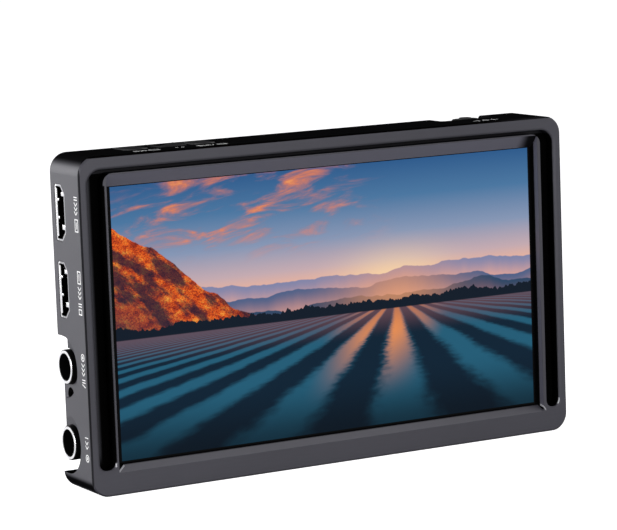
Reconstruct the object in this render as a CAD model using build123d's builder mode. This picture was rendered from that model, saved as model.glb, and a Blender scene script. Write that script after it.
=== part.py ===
from build123d import *
import math
import os

os.makedirs("parts", exist_ok=True)

# All sizes are in millimetres. X is right seen from the front, Y runs from the front to the back and
# Z is up. The origin is the centre of the tripod thread's mouth in the bottom face.

# ---- Housing -------------------------------------------------------------------------------------
component_room = 7.4
side_rim = 2.65
top_rim = 3.85
corner_radius = 5.0
side_wall = 3.0
rail = 4.5
edge_break = 0.4
front_web = 1.3

# ---- Screen opening: a bevelled ridge frames the picture ------------------------------------------
picture_width = 132.5
picture_height = 74.5
side_border = 1.45
top_border = 0.25
bottom_border = 0.55
screen_recess = 2.3
lip_land = 0.2
side_bevel = 0.5
top_bevel = 3.4
bottom_bevel = 2.0
side_crest = 1.0
top_crest = 0.3

# ---- Sun hood channel: a U of two side slots and a narrow groove over the top ---------------------
slot_width = 4.4
groove_height = 0.95
channel_depth = 3.6
slot_end_rise = 1.0
channel_outer_radius = 4.0
ridge_corner_radius = 2.8
slot_end_radius = 2.0
channel_lip = 0.8
channel_lip_steps = 5

# ---- Display stack --------------------------------------------------------------------------------
pocket_web = 0.6
pocket_margin = 1.95
stack_clearance = 0.1
glass_thickness = 1.0
gasket_thickness = 0.3
gasket_band = 1.6
panel_thickness = 1.4
tray_depth = 2.2
tray_wall = 0.5
tray_floor = 0.4
guide_thickness = 1.6
led_strip_thickness = 1.0
led_strip_width = 1.5
led_strip_length = 124.0
led_gap = 0.2

# ---- Board frame and main board -------------------------------------------------------------------
frame_thickness = 0.8
frame_margin = 1.5
standoff_height = 0.5
standoff_radius = 2.6
board_thickness = 1.2
board_margin = 2.0
board_corner_radius = 2.0
board_screw_left = 18.0
board_screw_right = 25.0
board_screw_rise = 4.0
frame_tab_inset = 2.25
frame_tab_heights = (20.0, -22.4)
frame_tab_width = 5.0
frame_post_radius = 2.0
small_shank_radius = 0.9
small_head_radius = 1.75
small_head_height = 1.1
small_screw_length = 2.0
screw_clearance = 0.05
hole_clearance = 0.25
drive_radius = 0.75
drive_depth = 0.5

# ---- Rear cover -----------------------------------------------------------------------------------
cover_thickness = 1.8
cover_clearance = 0.15
cover_boss_radius = 2.4
boss_inset = 2.2
boss_right = 7.25
boss_top_left = 9.85
boss_top_middle = 0.0
boss_bottom_left = 25.25
boss_bottom_middle = 30.0
cover_screw_length = 6.0
bay_width = 4.25
hump_right_gap = 13.25
hump_top_gap = 6.5
hump_bottom_gap = 1.7
hump_height = 3.7
hump_edge = 0.8
hump_corner_radius = 2.5
hump_scallop = 3.3
vent_count = 7
vent_pitch = 3.4
vent_width = 1.5
vent_length = 20.0
vent_left = 25.0
vent_right = 18.0
vent_heights = (10.0, -18.0)

# ---- HDMI sockets, in the left wall ---------------------------------------------------------------
hdmi_upper_share = 0.245
hdmi_middle_share = 0.399
hdmi_board_gap = 0.1
hdmi_depth = 6.1
hdmi_length = 15.3
hdmi_bevel_depth = 2.3
hdmi_bevel_length = 2.4
hdmi_corner_radius = 0.8
hdmi_wall = 0.5
hdmi_reach = 10.0
hdmi_inset = 0.1
hdmi_tongue_length = 11.4
hdmi_tongue_thickness = 1.3
hdmi_tongue_inset = 1.6
hdmi_tongue_place = 0.45
port_clearance = 0.15

# ---- SDI sockets, in a bay that is open to the left and the back ----------------------------------
sdi_in_rise = 8.65
sdi_pitch = 20.95
bay_clearance = 0.15
finger_radius = 8.5
finger_centre_shift = 0.6
finger_recess = 1.5
bridge_back_shift = 1.0
web_back_shift = 1.1
web_step_drop = 0.1
web_bottom_rise = 5.3
web_lip_rise = 2.8
sdi_axis_rise = 4.8
sdi_barrel_radius = 4.75
sdi_bore_radius = 3.8
sdi_bore_depth = 9.0
sdi_proud = 0.1
sdi_slot_clearance = 0.2
sdi_block_length = 13.0
sdi_block_depth = 4.7
sdi_wall_break = 0.25
sdi_lug_radius = 0.95
sdi_lug_height = 0.6
sdi_lug_place = 4.7
sdi_insulator_radius = 2.3
sdi_insulator_length = 6.0
sdi_pin_radius = 0.65
sdi_pin_length = 5.4
bracket_screw_shift = 0.3
bracket_screw_drop = 7.7
bracket_hole_radius = 1.95
bracket_boss_radius = 2.0
bracket_screw_recess = 0.7

# ---- Top keys -------------------------------------------------------------------------------------
key_width = 7.4
key_length = 8.6
key_cover_gap = 4.1
key_proud = 0.2
key_edge = 0.3
key_corner_radius = 0.8
key_window = 2.0
key_clearance = 0.15
key_flange = 0.8
key_flange_overhang = 0.8
key_dish_radius = 30.0
key_dish_depth = 0.2
key_stem_radius = 1.5
key_travel = 0.35
key_gap = 0.05
rocker_inset = 32.35
input_key_pitch = 10.7
menu_key_pitch = 9.7
rocker_width = 8.4
rocker_clearance = 0.35
rocker_pin_radius = 0.6
rocker_pin_clearance = 0.04
rocker_pin_drop = 2.4
rocker_pin_overhang = 0.6
rocker_dip = 0.7
rocker_taper = 0.5
rocker_hub = 1.2
rocker_switch_size = 3.6
rocker_foot_place = 2.8
rocker_foot_radius = 0.8
switch_size = 4.4
switch_body = 1.2
switch_button_radius = 1.0
switch_button_height = 0.45
key_board_thickness = 1.0
key_board_left_reach = 16.6
key_board_right_reach = 19.5
key_board_length = 8.0
key_post_reach = 17.3
key_post_radius = 2.0
ledge_width = 1.0
ledge_lip = 1.4
ledge_length = 4.0

# ---- Power key, in a notch of the top rear edge ---------------------------------------------------
power_inset = 22.65
notch_left_reach = 10.1
notch_right_reach = 7.0
notch_length = 7.3
notch_drop = 2.8
notch_radius = 1.5
notch_slant = 18.0
power_back_gap = 3.7
power_radius = 2.3
power_top = 0.2
power_cap_length = 8.0
power_cap_width = 5.0
power_cap_radius = 2.2
power_crown_radius = 1.9
power_crown_height = 0.35
power_crown_slant = 30.0
power_flange = 0.6
power_flange_width = 8.6
power_flange_length = 2.8
power_flange_shift = 0.2
power_switch_shift = 0.6
power_neck = 0.6
power_neck_width = 3.4
power_stem = 0.3
power_post_reach = 7.0
power_board_length = 7.0

# ---- Right side ports -----------------------------------------------------------------------------
dc_drop = 11.0
dc_axis_rise = 3.6
dc_nose_radius = 3.55
dc_bore_radius = 2.85
dc_bore_depth = 9.5
dc_pin_radius = 1.0
dc_pin_length = 8.5
dc_body_length = 13.0
dc_body_height = 9.0
audio_gap = 13.5
audio_axis_rise = 2.9
audio_nose_radius = 2.8
audio_bore_radius = 1.8
audio_bore_depth = 13.0
audio_body_length = 12.0
audio_body_height = 6.2
usb_rise = 10.5
usb_width = 8.94
usb_thickness = 3.26
usb_wall = 0.3
usb_corner_radius = 1.6
usb_reach = 9.0
usb_tongue_width = 6.7
usb_tongue_thickness = 0.7
usb_tongue_inset = 0.8
nose_inset = 0.2

# ---- Tripod threads, 1/4"-20 ----------------------------------------------------------------------
insert_radius = 4.75
insert_length = 6.2
insert_bore_radius = 2.6
insert_bore_depth = 5.6
insert_boss_wall = 1.6
side_insert_cover_gap = 6.1
side_insert_height = 1.0

# ---- Battery plate, for batteries of the 38.4 mm wide slide-on kind -------------------------------
battery_plate_width = 42.0
battery_plate_height = 66.0
battery_plate_thickness = 5.0
battery_plate_radius = 3.0
battery_plate_edge = 0.6
hook_half_pitch = 15.5
hook_heights = (18.0, -8.0)
hook_neck_width = 2.4
hook_neck_height = 1.6
hook_head_width = 4.6
hook_head_height = 1.4
hook_length = 7.0
contact_block_width = 18.0
contact_block_height = 6.0
contact_block_depth = 3.0
contact_block_place = -27.0
blade_pitch = 5.0
blade_width = 0.8
blade_depth = 1.8
blade_length = 4.5
blade_count = 3
lead_radius = 0.7
lead_hole_radius = 1.0
lead_pitch = 10.0
plate_screw_side_inset = 5.0
plate_screw_end_inset = 4.0
plate_screw_length = 6.4
latch_place = (9.5, 6.0)
latch_width = 7.8
latch_height = 11.8
latch_flange = 1.0
latch_flange_overhang = 1.4
latch_proud = 2.0
latch_travel = 1.8
latch_ramp = 3.0
latch_clearance = 0.12
latch_window = 1.0
latch_spring_hole = 2.7
latch_cap = 2.2
spring_radius = 2.0
spring_wire = 0.45
spring_turns = 3

# ---- Chips and heat spreader ----------------------------------------------------------------------
processor_size = 16.0
processor_place = (-8.0, 8.0)
chip_height = 1.2
memory_places = ((14.0, 14.0), (14.0, 2.0), (-30.0, 14.0), (-30.0, 2.0))
memory_width = 12.0
memory_height = 8.0
pad_thickness = 1.0
pad_size = 15.0
spreader_width = 40.0
spreader_height = 30.0
spreader_thickness = 1.0
spreader_corner_radius = 2.0
flex_thickness = 0.25
panel_flex_width = 20.0
panel_flex_rise = 8.5
flex_window_clearance = 1.0
flex_drop = 1.2
connector_height = 3.6
connector_depth = 1.0
connector_overhang = 1.0
key_flex_width = 6.0
key_flex_offset = 1.9
key_flex_reach = 3.0

# ---- Places worked out from the sizes above -------------------------------------------------------
opening_half_width = picture_width / 2 + side_border
opening_top = picture_height / 2 + top_border
opening_bottom = -picture_height / 2 - bottom_border
ridge_half_width = opening_half_width + side_bevel
ridge_top = opening_top + top_bevel
ridge_bottom = opening_bottom - bottom_bevel
slot_inner = ridge_half_width + side_crest
slot_outer = slot_inner + slot_width
slot_bottom = ridge_bottom + slot_end_rise
groove_bottom = ridge_top + top_crest
groove_top = groove_bottom + groove_height

glass_back = screen_recess + glass_thickness
gasket_back = glass_back + gasket_thickness
panel_back = gasket_back + panel_thickness
tray_back = panel_back + tray_depth
guide_front = tray_back - tray_floor - guide_thickness
frame_back = tray_back + frame_thickness
board_front = frame_back + standoff_height
board_back = board_front + board_thickness
chip_back = board_back + chip_height
cover_front = board_back + component_room
cover_back = cover_front + cover_thickness
hump_back = cover_back + hump_height
hump_inside = hump_back - cover_thickness

half_width = slot_outer + side_rim
half_height = groove_top + top_rim
housing_width = 2 * half_width
housing_height = 2 * half_height
housing_depth = cover_back
front_y = -housing_depth / 2
middle_z = half_height
left_face = -half_width
right_face = half_width
cavity_half_width = half_width - side_wall
cavity_half_height = half_height - rail
cavity_depth = channel_depth + front_web

pocket_height = opening_top - opening_bottom + 2 * pocket_margin
stack_width = 2 * (slot_inner - pocket_web - stack_clearance)
stack_height = pocket_height - 2 * stack_clearance
frame_height = stack_height - 2 * frame_margin
frame_tab_x = cavity_half_width - frame_tab_inset
board_width = 2 * (cavity_half_width - bay_width)
board_height = frame_height - 2 * board_margin
board_screw_places = [
    (x, side * (board_height / 2 - board_screw_rise))
    for x in (board_screw_left - board_width / 2, board_width / 2 - board_screw_right)
    for side in (-1, 1)
]

hump_left = bay_width - cavity_half_width
hump_right = cavity_half_width - hump_right_gap
hump_top = cavity_half_height - hump_top_gap
hump_bottom = hump_bottom_gap - cavity_half_height
boss_right_x = cavity_half_width - boss_right
boss_height = cavity_half_height - boss_inset
cover_screw_places = [
    (boss_top_left - cavity_half_width, boss_height),
    (boss_top_middle, boss_height),
    (boss_right_x, boss_height),
    (boss_bottom_left - cavity_half_width, -boss_height),
    (boss_bottom_middle, -boss_height),
    (boss_right_x, -boss_height),
]
boss_front = frame_back + hole_clearance
vent_places = [(hump_left + vent_left, vent_heights[0])]
vent_places += [(hump_right - vent_right, height) for height in vent_heights]

# from the bottom up: the bay with its two SDI sockets, and two HDMI sockets over it
bay_bottom = bay_clearance - cavity_half_height
sdi_in_height = sdi_in_rise - cavity_half_height
sdi_heights = {"sdi_out": sdi_in_height + sdi_pitch, "sdi_in": sdi_in_height}
bay_top = sdi_heights["sdi_out"] + finger_radius
web_bottom = web_bottom_rise - cavity_half_height
web_step_height = sdi_heights["sdi_out"] - web_step_drop
bracket_screw_height = sdi_heights["sdi_out"] - bracket_screw_drop
hdmi_slack = cavity_half_height - bay_top - 2 * hdmi_length
hdmi_in_height = cavity_half_height - hdmi_upper_share * hdmi_slack - hdmi_length / 2
hdmi_out_height = hdmi_in_height - hdmi_length - hdmi_middle_share * hdmi_slack
hdmi_heights = {"hdmi_in": hdmi_in_height, "hdmi_out": hdmi_out_height}
hdmi_front = board_back + hdmi_board_gap
sdi_axis_depth = board_back + sdi_axis_rise
sdi_slot_radius = sdi_barrel_radius + sdi_slot_clearance
sdi_slot_tops = {"sdi_out": sdi_slot_radius, "sdi_in": web_lip_rise}
finger_centre = sdi_axis_depth + finger_centre_shift
bridge_back = sdi_axis_depth + bridge_back_shift
web_back_top = sdi_axis_depth + web_back_shift
bracket_screw_depth = sdi_axis_depth + bracket_screw_shift
web_outer = left_face + finger_recess
web_inner = left_face + side_wall
sdi_mouth = left_face - sdi_proud
bay_wall_outer = hump_left
bay_wall_inner = hump_left + cover_thickness

key_depth = cover_front - key_cover_gap
rocker_place = left_face + rocker_inset
key_places = {"input_key": rocker_place - input_key_pitch, "menu_key": rocker_place + menu_key_pitch}
key_board_left = rocker_place - key_board_left_reach
key_board_right = rocker_place + key_board_right_reach
key_post_place = rocker_place + key_post_reach
key_flex_place = rocker_place + key_flex_offset
key_step = half_height - key_window
key_stem_bottom = cavity_half_height - key_gap
switch_top = key_stem_bottom - key_travel - key_gap
key_board_top = switch_top - switch_body - switch_button_height
key_board_bottom = key_board_top - key_board_thickness
power_depth = housing_depth - power_back_gap
power_place = right_face - power_inset
notch_left = power_place - notch_left_reach
notch_right = power_place + notch_right_reach
notch_front = housing_depth - notch_length
notch_floor = half_height - notch_drop
power_cap_bottom = notch_floor + key_travel + key_gap
power_flange_top = cavity_half_height - key_gap
power_stem_bottom = power_flange_top - power_flange - power_stem
power_switch_top = power_stem_bottom - key_travel - key_gap
power_board_top = power_switch_top - switch_body - switch_button_height

dc_axis_depth = board_back + dc_axis_rise
dc_height = cavity_half_height - dc_drop
audio_axis_depth = board_back + audio_axis_rise
audio_height = side_insert_height - audio_gap
usb_height = usb_rise - cavity_half_height
usb_depth = board_back + key_gap + usb_thickness / 2
side_insert_depth = cover_front - side_insert_cover_gap
panel_flex_top = panel_flex_rise - stack_height / 2

plate_front = hump_back
plate_back = hump_back + battery_plate_thickness
plate_screw_side = battery_plate_width / 2 - plate_screw_side_inset
plate_screw_end = battery_plate_height / 2 - plate_screw_end_inset
plate_screw_places = [
    (x, height)
    for x in (-plate_screw_side, plate_screw_side)
    for height in (-plate_screw_end, plate_screw_end)
]
hook_places = [(side * hook_half_pitch, height) for side in (-1, 1) for height in hook_heights]
latch_flange_back = plate_back - latch_window - key_gap
latch_flange_front = latch_flange_back - latch_flange
latch_well_bottom = latch_flange_front - latch_travel - latch_clearance


def facing_front(depth):
    """Plane at a depth behind the front face: x is right, y is up from the screen's middle."""
    return Plane(origin=(0, front_y + depth, middle_z), x_dir=(1, 0, 0), z_dir=(0, -1, 0))


def facing_side(x):
    """Plane across X: its x is the depth behind the front face and its y is up from the middle."""
    return Plane(origin=(x, front_y, middle_z), x_dir=(0, 1, 0), z_dir=(1, 0, 0))


def facing_top(height):
    """Level plane at a height above the middle: x is right and y is the depth behind the front."""
    return Plane(origin=(0, front_y, middle_z + height), x_dir=(1, 0, 0), z_dir=(0, 0, 1))


def hdmi_outline(margin):
    """The socket's outline, drawn on a facing_side sketch: wide at the back, bevelled at the front."""
    with BuildSketch(mode=Mode.PRIVATE) as outline:
        with BuildLine():
            Polyline(
                (0, -hdmi_length / 2 + hdmi_bevel_length),
                (hdmi_bevel_depth, -hdmi_length / 2),
                (hdmi_depth, -hdmi_length / 2),
                (hdmi_depth, hdmi_length / 2),
                (hdmi_bevel_depth, hdmi_length / 2),
                (0, hdmi_length / 2 - hdmi_bevel_length),
                close=True,
            )
        make_face()
        fillet(outline.vertices().group_by(Axis.X)[-1], hdmi_corner_radius)
        if margin:
            offset(amount=margin)
    return outline.sketch


def channel_outline(rise):
    """The hood channel's outline, drawn on a facing_front sketch, with its outer edge moved outwards."""
    with BuildSketch(mode=Mode.PRIVATE) as outline:
        with Locations((0, (groove_top + rise + slot_bottom) / 2)):
            Rectangle(2 * (slot_outer + rise), groove_top + rise - slot_bottom)
        fillet(outline.vertices().group_by(Axis.Y)[-1], channel_outer_radius + rise)
        with BuildSketch(mode=Mode.PRIVATE) as ridge:
            with Locations((0, groove_bottom - housing_height / 2)):
                Rectangle(2 * slot_inner, housing_height)
            fillet(ridge.vertices().group_by(Axis.Y)[-1], ridge_corner_radius)
        add(ridge.sketch, mode=Mode.SUBTRACT)
        fillet(outline.vertices().group_by(Axis.Y)[0], slot_end_radius)
    return outline.sketch


# ---- The rounded mouth of the hood channel, cut from the housing below -----------------------------
with BuildPart() as channel_mouth:
    for step in range(channel_lip_steps + 1):
        turn = math.radians(90 * step / channel_lip_steps)
        with BuildSketch(facing_front(channel_lip * (1 - math.cos(turn)))):
            add(channel_outline(channel_lip * (1 - math.sin(turn))))
    loft(ruled=True)

# ---- Housing: one machined body with the screen ridge, hood channel, walls and bosses -------------
with BuildPart() as housing:
    with BuildSketch(facing_front(0)):
        RectangleRounded(housing_width, housing_height, corner_radius)
    extrude(amount=-housing_depth)
    chamfer(housing.faces().sort_by(Axis.Y)[0].outer_wire().edges(), edge_break)
    chamfer(housing.faces().sort_by(Axis.Y)[-1].outer_wire().edges(), edge_break)

    # the cavity behind the front web, and the pocket that seats the display stack
    with BuildSketch(facing_front(cavity_depth)):
        RectangleRounded(2 * cavity_half_width, 2 * cavity_half_height, corner_radius - rail / 2)
    extrude(amount=-housing_depth, mode=Mode.SUBTRACT)
    with BuildSketch(facing_front(screen_recess)):
        Rectangle(2 * (slot_inner - pocket_web), pocket_height)
    extrude(amount=-(cavity_depth - screen_recess), mode=Mode.SUBTRACT)

    # the screen opening with its mitred bevels
    with BuildSketch(facing_front(0)):
        with Locations((0, (ridge_top + ridge_bottom) / 2)):
            Rectangle(2 * ridge_half_width, ridge_top - ridge_bottom)
    with BuildSketch(facing_front(screen_recess - lip_land)):
        with Locations((0, (opening_top + opening_bottom) / 2)):
            Rectangle(2 * opening_half_width, opening_top - opening_bottom)
    loft(mode=Mode.SUBTRACT)
    with BuildSketch(facing_front(0)):
        with Locations((0, (opening_top + opening_bottom) / 2)):
            Rectangle(2 * opening_half_width, opening_top - opening_bottom)
    extrude(amount=-screen_recess, mode=Mode.SUBTRACT)

    # the hood channel
    with BuildSketch(facing_front(0)):
        add(channel_outline(0))
    extrude(amount=-channel_depth, mode=Mode.SUBTRACT)
    add(channel_mouth.part, mode=Mode.SUBTRACT)

    # posts for the board frame and bosses for the rear cover
    for side in (-1, 1):
        for tab_height in frame_tab_heights:
            with BuildSketch(facing_front(cavity_depth)):
                with Locations((side * frame_tab_x, tab_height)):
                    Circle(frame_post_radius)
            extrude(amount=-(tray_back - cavity_depth))
            with BuildSketch(facing_front(tray_back)):
                with Locations((side * frame_tab_x, tab_height)):
                    Circle(small_shank_radius + screw_clearance)
            extrude(amount=small_screw_length, mode=Mode.SUBTRACT)
    for boss_x, boss_z in cover_screw_places:
        outward = math.copysign(boss_inset, boss_z)
        with BuildSketch(facing_front(boss_front)):
            with Locations((boss_x, boss_z)):
                Circle(cover_boss_radius)
            with Locations((boss_x, boss_z + outward / 2)):
                Rectangle(2 * cover_boss_radius, boss_inset)
        extrude(amount=-(cover_front - boss_front))
        with BuildSketch(facing_front(cover_front)):
            with Locations((boss_x, boss_z)):
                Circle(small_shank_radius + screw_clearance)
        extrude(amount=cover_screw_length, mode=Mode.SUBTRACT)

    # the top keys' windows, each wider below so that the key's flange stays in
    for key_x in key_places.values():
        with BuildSketch(facing_top(half_height)):
            with Locations((key_x, key_depth)):
                Rectangle(key_width + 2 * key_clearance, key_length + 2 * key_clearance)
        extrude(amount=-rail, mode=Mode.SUBTRACT)
        with BuildSketch(facing_top(key_step)):
            with Locations((key_x, key_depth)):
                Rectangle(
                    key_width + 2 * (key_flange_overhang + key_clearance),
                    key_length + 2 * key_clearance,
                )
        extrude(amount=key_window - rail, mode=Mode.SUBTRACT)
    with BuildSketch(facing_top(half_height)):
        with Locations((rocker_place, key_depth)):
            Rectangle(rocker_width + 2 * rocker_clearance, key_length + 2 * key_clearance)
    extrude(amount=-rail, mode=Mode.SUBTRACT)
    with BuildSketch(facing_front(key_depth - key_length / 2 - key_clearance - rocker_pin_overhang)):
        with Locations((rocker_place, half_height - rocker_pin_drop)):
            Circle(rocker_pin_radius)
    extrude(amount=-(key_length + 2 * (key_clearance + rocker_pin_overhang)), mode=Mode.SUBTRACT)

    # a post and a ledge that carry the key board
    with BuildSketch(facing_top(cavity_half_height)):
        with Locations((key_post_place, key_depth)):
            Circle(key_post_radius)
    extrude(amount=key_board_top - cavity_half_height)
    with BuildSketch(facing_top(key_board_top)):
        with Locations((key_post_place, key_depth)):
            Circle(small_shank_radius + screw_clearance)
    extrude(amount=small_screw_length, mode=Mode.SUBTRACT)
    with BuildSketch(facing_top(cavity_half_height)):
        with Locations((key_board_left - key_gap - ledge_width / 2, key_depth)):
            Rectangle(ledge_width, ledge_length)
    extrude(amount=key_board_bottom - ledge_width - cavity_half_height)
    with BuildSketch(facing_top(key_board_bottom)):
        with Locations((key_board_left - key_gap - ledge_width / 2 + ledge_lip / 2, key_depth)):
            Rectangle(ledge_width + ledge_lip, ledge_length)
    extrude(amount=-ledge_width)

    # the notch for the power key, and two posts for its board
    with BuildSketch(facing_top(half_height)):
        with Locations(((notch_left + notch_right) / 2, (notch_front + housing_depth + rail) / 2)):
            RectangleRounded(
                notch_right - notch_left, housing_depth + rail - notch_front, notch_radius
            )
    extrude(amount=-notch_drop, taper=notch_slant, mode=Mode.SUBTRACT)
    with BuildSketch(facing_top(notch_floor)):
        with Locations((power_place, power_depth)):
            Circle(power_radius + key_clearance)
    extrude(amount=-rail, mode=Mode.SUBTRACT)
    for side in (-1, 1):
        with BuildSketch(facing_top(cavity_half_height)):
            with Locations((power_place + side * power_post_reach, key_depth)):
                Circle(key_post_radius)
        extrude(amount=power_board_top - cavity_half_height)
        with BuildSketch(facing_top(power_board_top)):
            with Locations((power_place + side * power_post_reach, key_depth)):
                Circle(small_shank_radius + screw_clearance)
        extrude(amount=small_screw_length, mode=Mode.SUBTRACT)

    # HDMI openings in the left wall
    for socket_height in hdmi_heights.values():
        with BuildSketch(facing_side(left_face)):
            with Locations((hdmi_front, socket_height)):
                add(hdmi_outline(port_clearance))
        extrude(amount=side_wall, mode=Mode.SUBTRACT)

    # finger recesses around the SDI sockets, a bridge between them, and slots for the barrels:
    # the bridge's lower end reaches around the lower barrel
    with BuildSketch(facing_side(left_face)):
        for socket_height in sdi_heights.values():
            with Locations((finger_centre, socket_height)):
                Circle(finger_radius)
            with Locations((finger_centre + housing_depth / 2, socket_height)):
                Rectangle(housing_depth, 2 * finger_radius)
        with Locations((bridge_back + housing_depth / 2, (bay_top + bay_bottom) / 2)):
            Rectangle(housing_depth, bay_top - bay_bottom)
    extrude(amount=finger_recess, mode=Mode.SUBTRACT)
    with BuildSketch(facing_side(left_face)):
        for sdi_name, socket_height in sdi_heights.items():
            with Locations((sdi_axis_depth, socket_height)):
                Circle(sdi_slot_radius)
            with Locations((sdi_axis_depth + housing_depth / 2, socket_height - sdi_slot_radius)):
                Rectangle(
                    housing_depth,
                    sdi_slot_radius + sdi_slot_tops[sdi_name],
                    align=(Align.CENTER, Align.MIN),
                )
    extrude(amount=side_wall, mode=Mode.SUBTRACT)
    with BuildSketch(facing_side(left_face)):
        with Locations((finger_centre, sdi_heights["sdi_in"])):
            Circle(finger_radius)
        with Locations((finger_centre + housing_depth / 2, sdi_heights["sdi_in"])):
            Rectangle(housing_depth, 2 * finger_radius)
        with Locations((housing_depth, web_bottom + half_height)):
            Rectangle(2 * housing_width, housing_height, mode=Mode.SUBTRACT)
    extrude(amount=bay_wall_outer - left_face, mode=Mode.SUBTRACT)
    with BuildSketch(facing_side(left_face)):
        with Locations((web_back_top + housing_depth / 2, (bay_top + web_step_height) / 2)):
            Rectangle(housing_depth, bay_top - web_step_height)
    extrude(amount=side_wall, mode=Mode.SUBTRACT)
    with BuildSketch(facing_side(web_outer)):
        with Locations((bracket_screw_depth, bracket_screw_height)):
            Circle(bracket_hole_radius)
    extrude(amount=bracket_screw_recess, mode=Mode.SUBTRACT)
    with BuildSketch(facing_side(web_outer)):
        with Locations((bracket_screw_depth, bracket_screw_height)):
            Circle(small_shank_radius + screw_clearance)
    extrude(amount=side_wall, mode=Mode.SUBTRACT)

    # port openings in the right wall
    with BuildSketch(facing_side(right_face)):
        with Locations((dc_axis_depth, dc_height)):
            Circle(dc_nose_radius + port_clearance)
        with Locations((audio_axis_depth, audio_height)):
            Circle(audio_nose_radius + port_clearance)
        with Locations((usb_depth, usb_height)):
            RectangleRounded(
                usb_thickness + 2 * port_clearance,
                usb_width + 2 * port_clearance,
                usb_corner_radius + port_clearance,
            )
    extrude(amount=-side_wall, mode=Mode.SUBTRACT)

    # seats for the threaded inserts in the bottom rail and the right wall
    with BuildSketch(facing_top(-cavity_half_height)):
        with Locations((0, housing_depth / 2)):
            Circle(insert_radius + insert_boss_wall)
    extrude(amount=insert_length - rail)
    with BuildSketch(facing_top(-half_height)):
        with Locations((0, housing_depth / 2)):
            Circle(insert_radius)
    extrude(amount=insert_length, mode=Mode.SUBTRACT)
    with BuildSketch(facing_side(cavity_half_width)):
        with Locations((side_insert_depth, side_insert_height)):
            Circle(insert_radius + insert_boss_wall / 2)
    extrude(amount=side_wall - insert_length)
    with BuildSketch(facing_side(right_face)):
        with Locations((side_insert_depth, side_insert_height)):
            Circle(insert_radius)
    extrude(amount=-insert_length, mode=Mode.SUBTRACT)
housing.part.label = "housing"
export_step(housing.part, "parts/housing.step")

# ---- Display stack --------------------------------------------------------------------------------
with BuildPart() as screen_glass:
    with BuildSketch(facing_front(screen_recess)):
        Rectangle(stack_width, stack_height)
    extrude(amount=-glass_thickness)
screen_glass.part.label = "screen_glass"
export_step(screen_glass.part, "parts/screen_glass.step")

with BuildPart() as panel_gasket:
    with BuildSketch(facing_front(glass_back)):
        Rectangle(stack_width, stack_height)
        Rectangle(stack_width - 2 * gasket_band, stack_height - 2 * gasket_band, mode=Mode.SUBTRACT)
    extrude(amount=-gasket_thickness)
panel_gasket.part.label = "panel_gasket"
export_step(panel_gasket.part, "parts/panel_gasket.step")

with BuildPart() as lcd_panel:
    with BuildSketch(facing_front(gasket_back)):
        Rectangle(stack_width, stack_height)
    extrude(amount=-panel_thickness)
lcd_panel.part.label = "lcd_panel"
export_step(lcd_panel.part, "parts/lcd_panel.step")

with BuildPart() as backlight_tray:
    with BuildSketch(facing_front(panel_back)):
        Rectangle(stack_width, stack_height)
    extrude(amount=-tray_depth)
    with BuildSketch(facing_front(panel_back)):
        Rectangle(stack_width - 2 * tray_wall, stack_height - 2 * tray_wall)
    extrude(amount=-(tray_depth - tray_floor), mode=Mode.SUBTRACT)
backlight_tray.part.label = "backlight_tray"
export_step(backlight_tray.part, "parts/backlight_tray.step")

tray_inner_width = stack_width - 2 * (tray_wall + stack_clearance)
tray_inner_height = stack_height - 2 * (tray_wall + stack_clearance)
with BuildPart() as led_strip:
    with BuildSketch(facing_front(tray_back - tray_floor)):
        with Locations((0, (led_strip_thickness - tray_inner_height) / 2)):
            Rectangle(led_strip_length, led_strip_thickness)
    extrude(amount=led_strip_width)
led_strip.part.label = "led_strip"
export_step(led_strip.part, "parts/led_strip.step")

with BuildPart() as light_guide:
    with BuildSketch(facing_front(tray_back - tray_floor)):
        with Locations((0, (led_strip_thickness + led_gap) / 2)):
            Rectangle(tray_inner_width, tray_inner_height - led_strip_thickness - led_gap)
    extrude(amount=guide_thickness)
light_guide.part.label = "light_guide"
export_step(light_guide.part, "parts/light_guide.step")

with BuildPart() as diffuser_sheet:
    with BuildSketch(facing_front(panel_back)):
        Rectangle(tray_inner_width, tray_inner_height)
    extrude(amount=panel_back - guide_front)
diffuser_sheet.part.label = "diffuser_sheet"
export_step(diffuser_sheet.part, "parts/diffuser_sheet.step")

# ---- Board frame: a plate behind the tray, with tabs to the housing's posts and board standoffs ---
with BuildPart() as board_frame:
    with BuildSketch(facing_front(tray_back)):
        Rectangle(stack_width, frame_height)
        for tab_height in frame_tab_heights:
            with Locations((0, tab_height)):
                Rectangle(2 * (frame_tab_x + frame_post_radius), frame_tab_width)
        with Locations((0, (panel_flex_top - stack_height / 2) / 2)):
            Rectangle(
                panel_flex_width + 2 * flex_window_clearance,
                stack_height / 2 + panel_flex_top + 2 * flex_window_clearance,
                mode=Mode.SUBTRACT,
            )
    extrude(amount=-frame_thickness)
    with BuildSketch(facing_front(frame_back)):
        with Locations(*board_screw_places):
            Circle(standoff_radius)
    extrude(amount=-standoff_height)
    with BuildSketch(facing_front(tray_back)):
        with Locations(*board_screw_places):
            Circle(small_shank_radius + screw_clearance)
        for tab_height in frame_tab_heights:
            with Locations((-frame_tab_x, tab_height), (frame_tab_x, tab_height)):
                Circle(small_shank_radius + hole_clearance)
    extrude(amount=-(frame_thickness + standoff_height), mode=Mode.SUBTRACT)
board_frame.part.label = "board_frame"
export_step(board_frame.part, "parts/board_frame.step")

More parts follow.
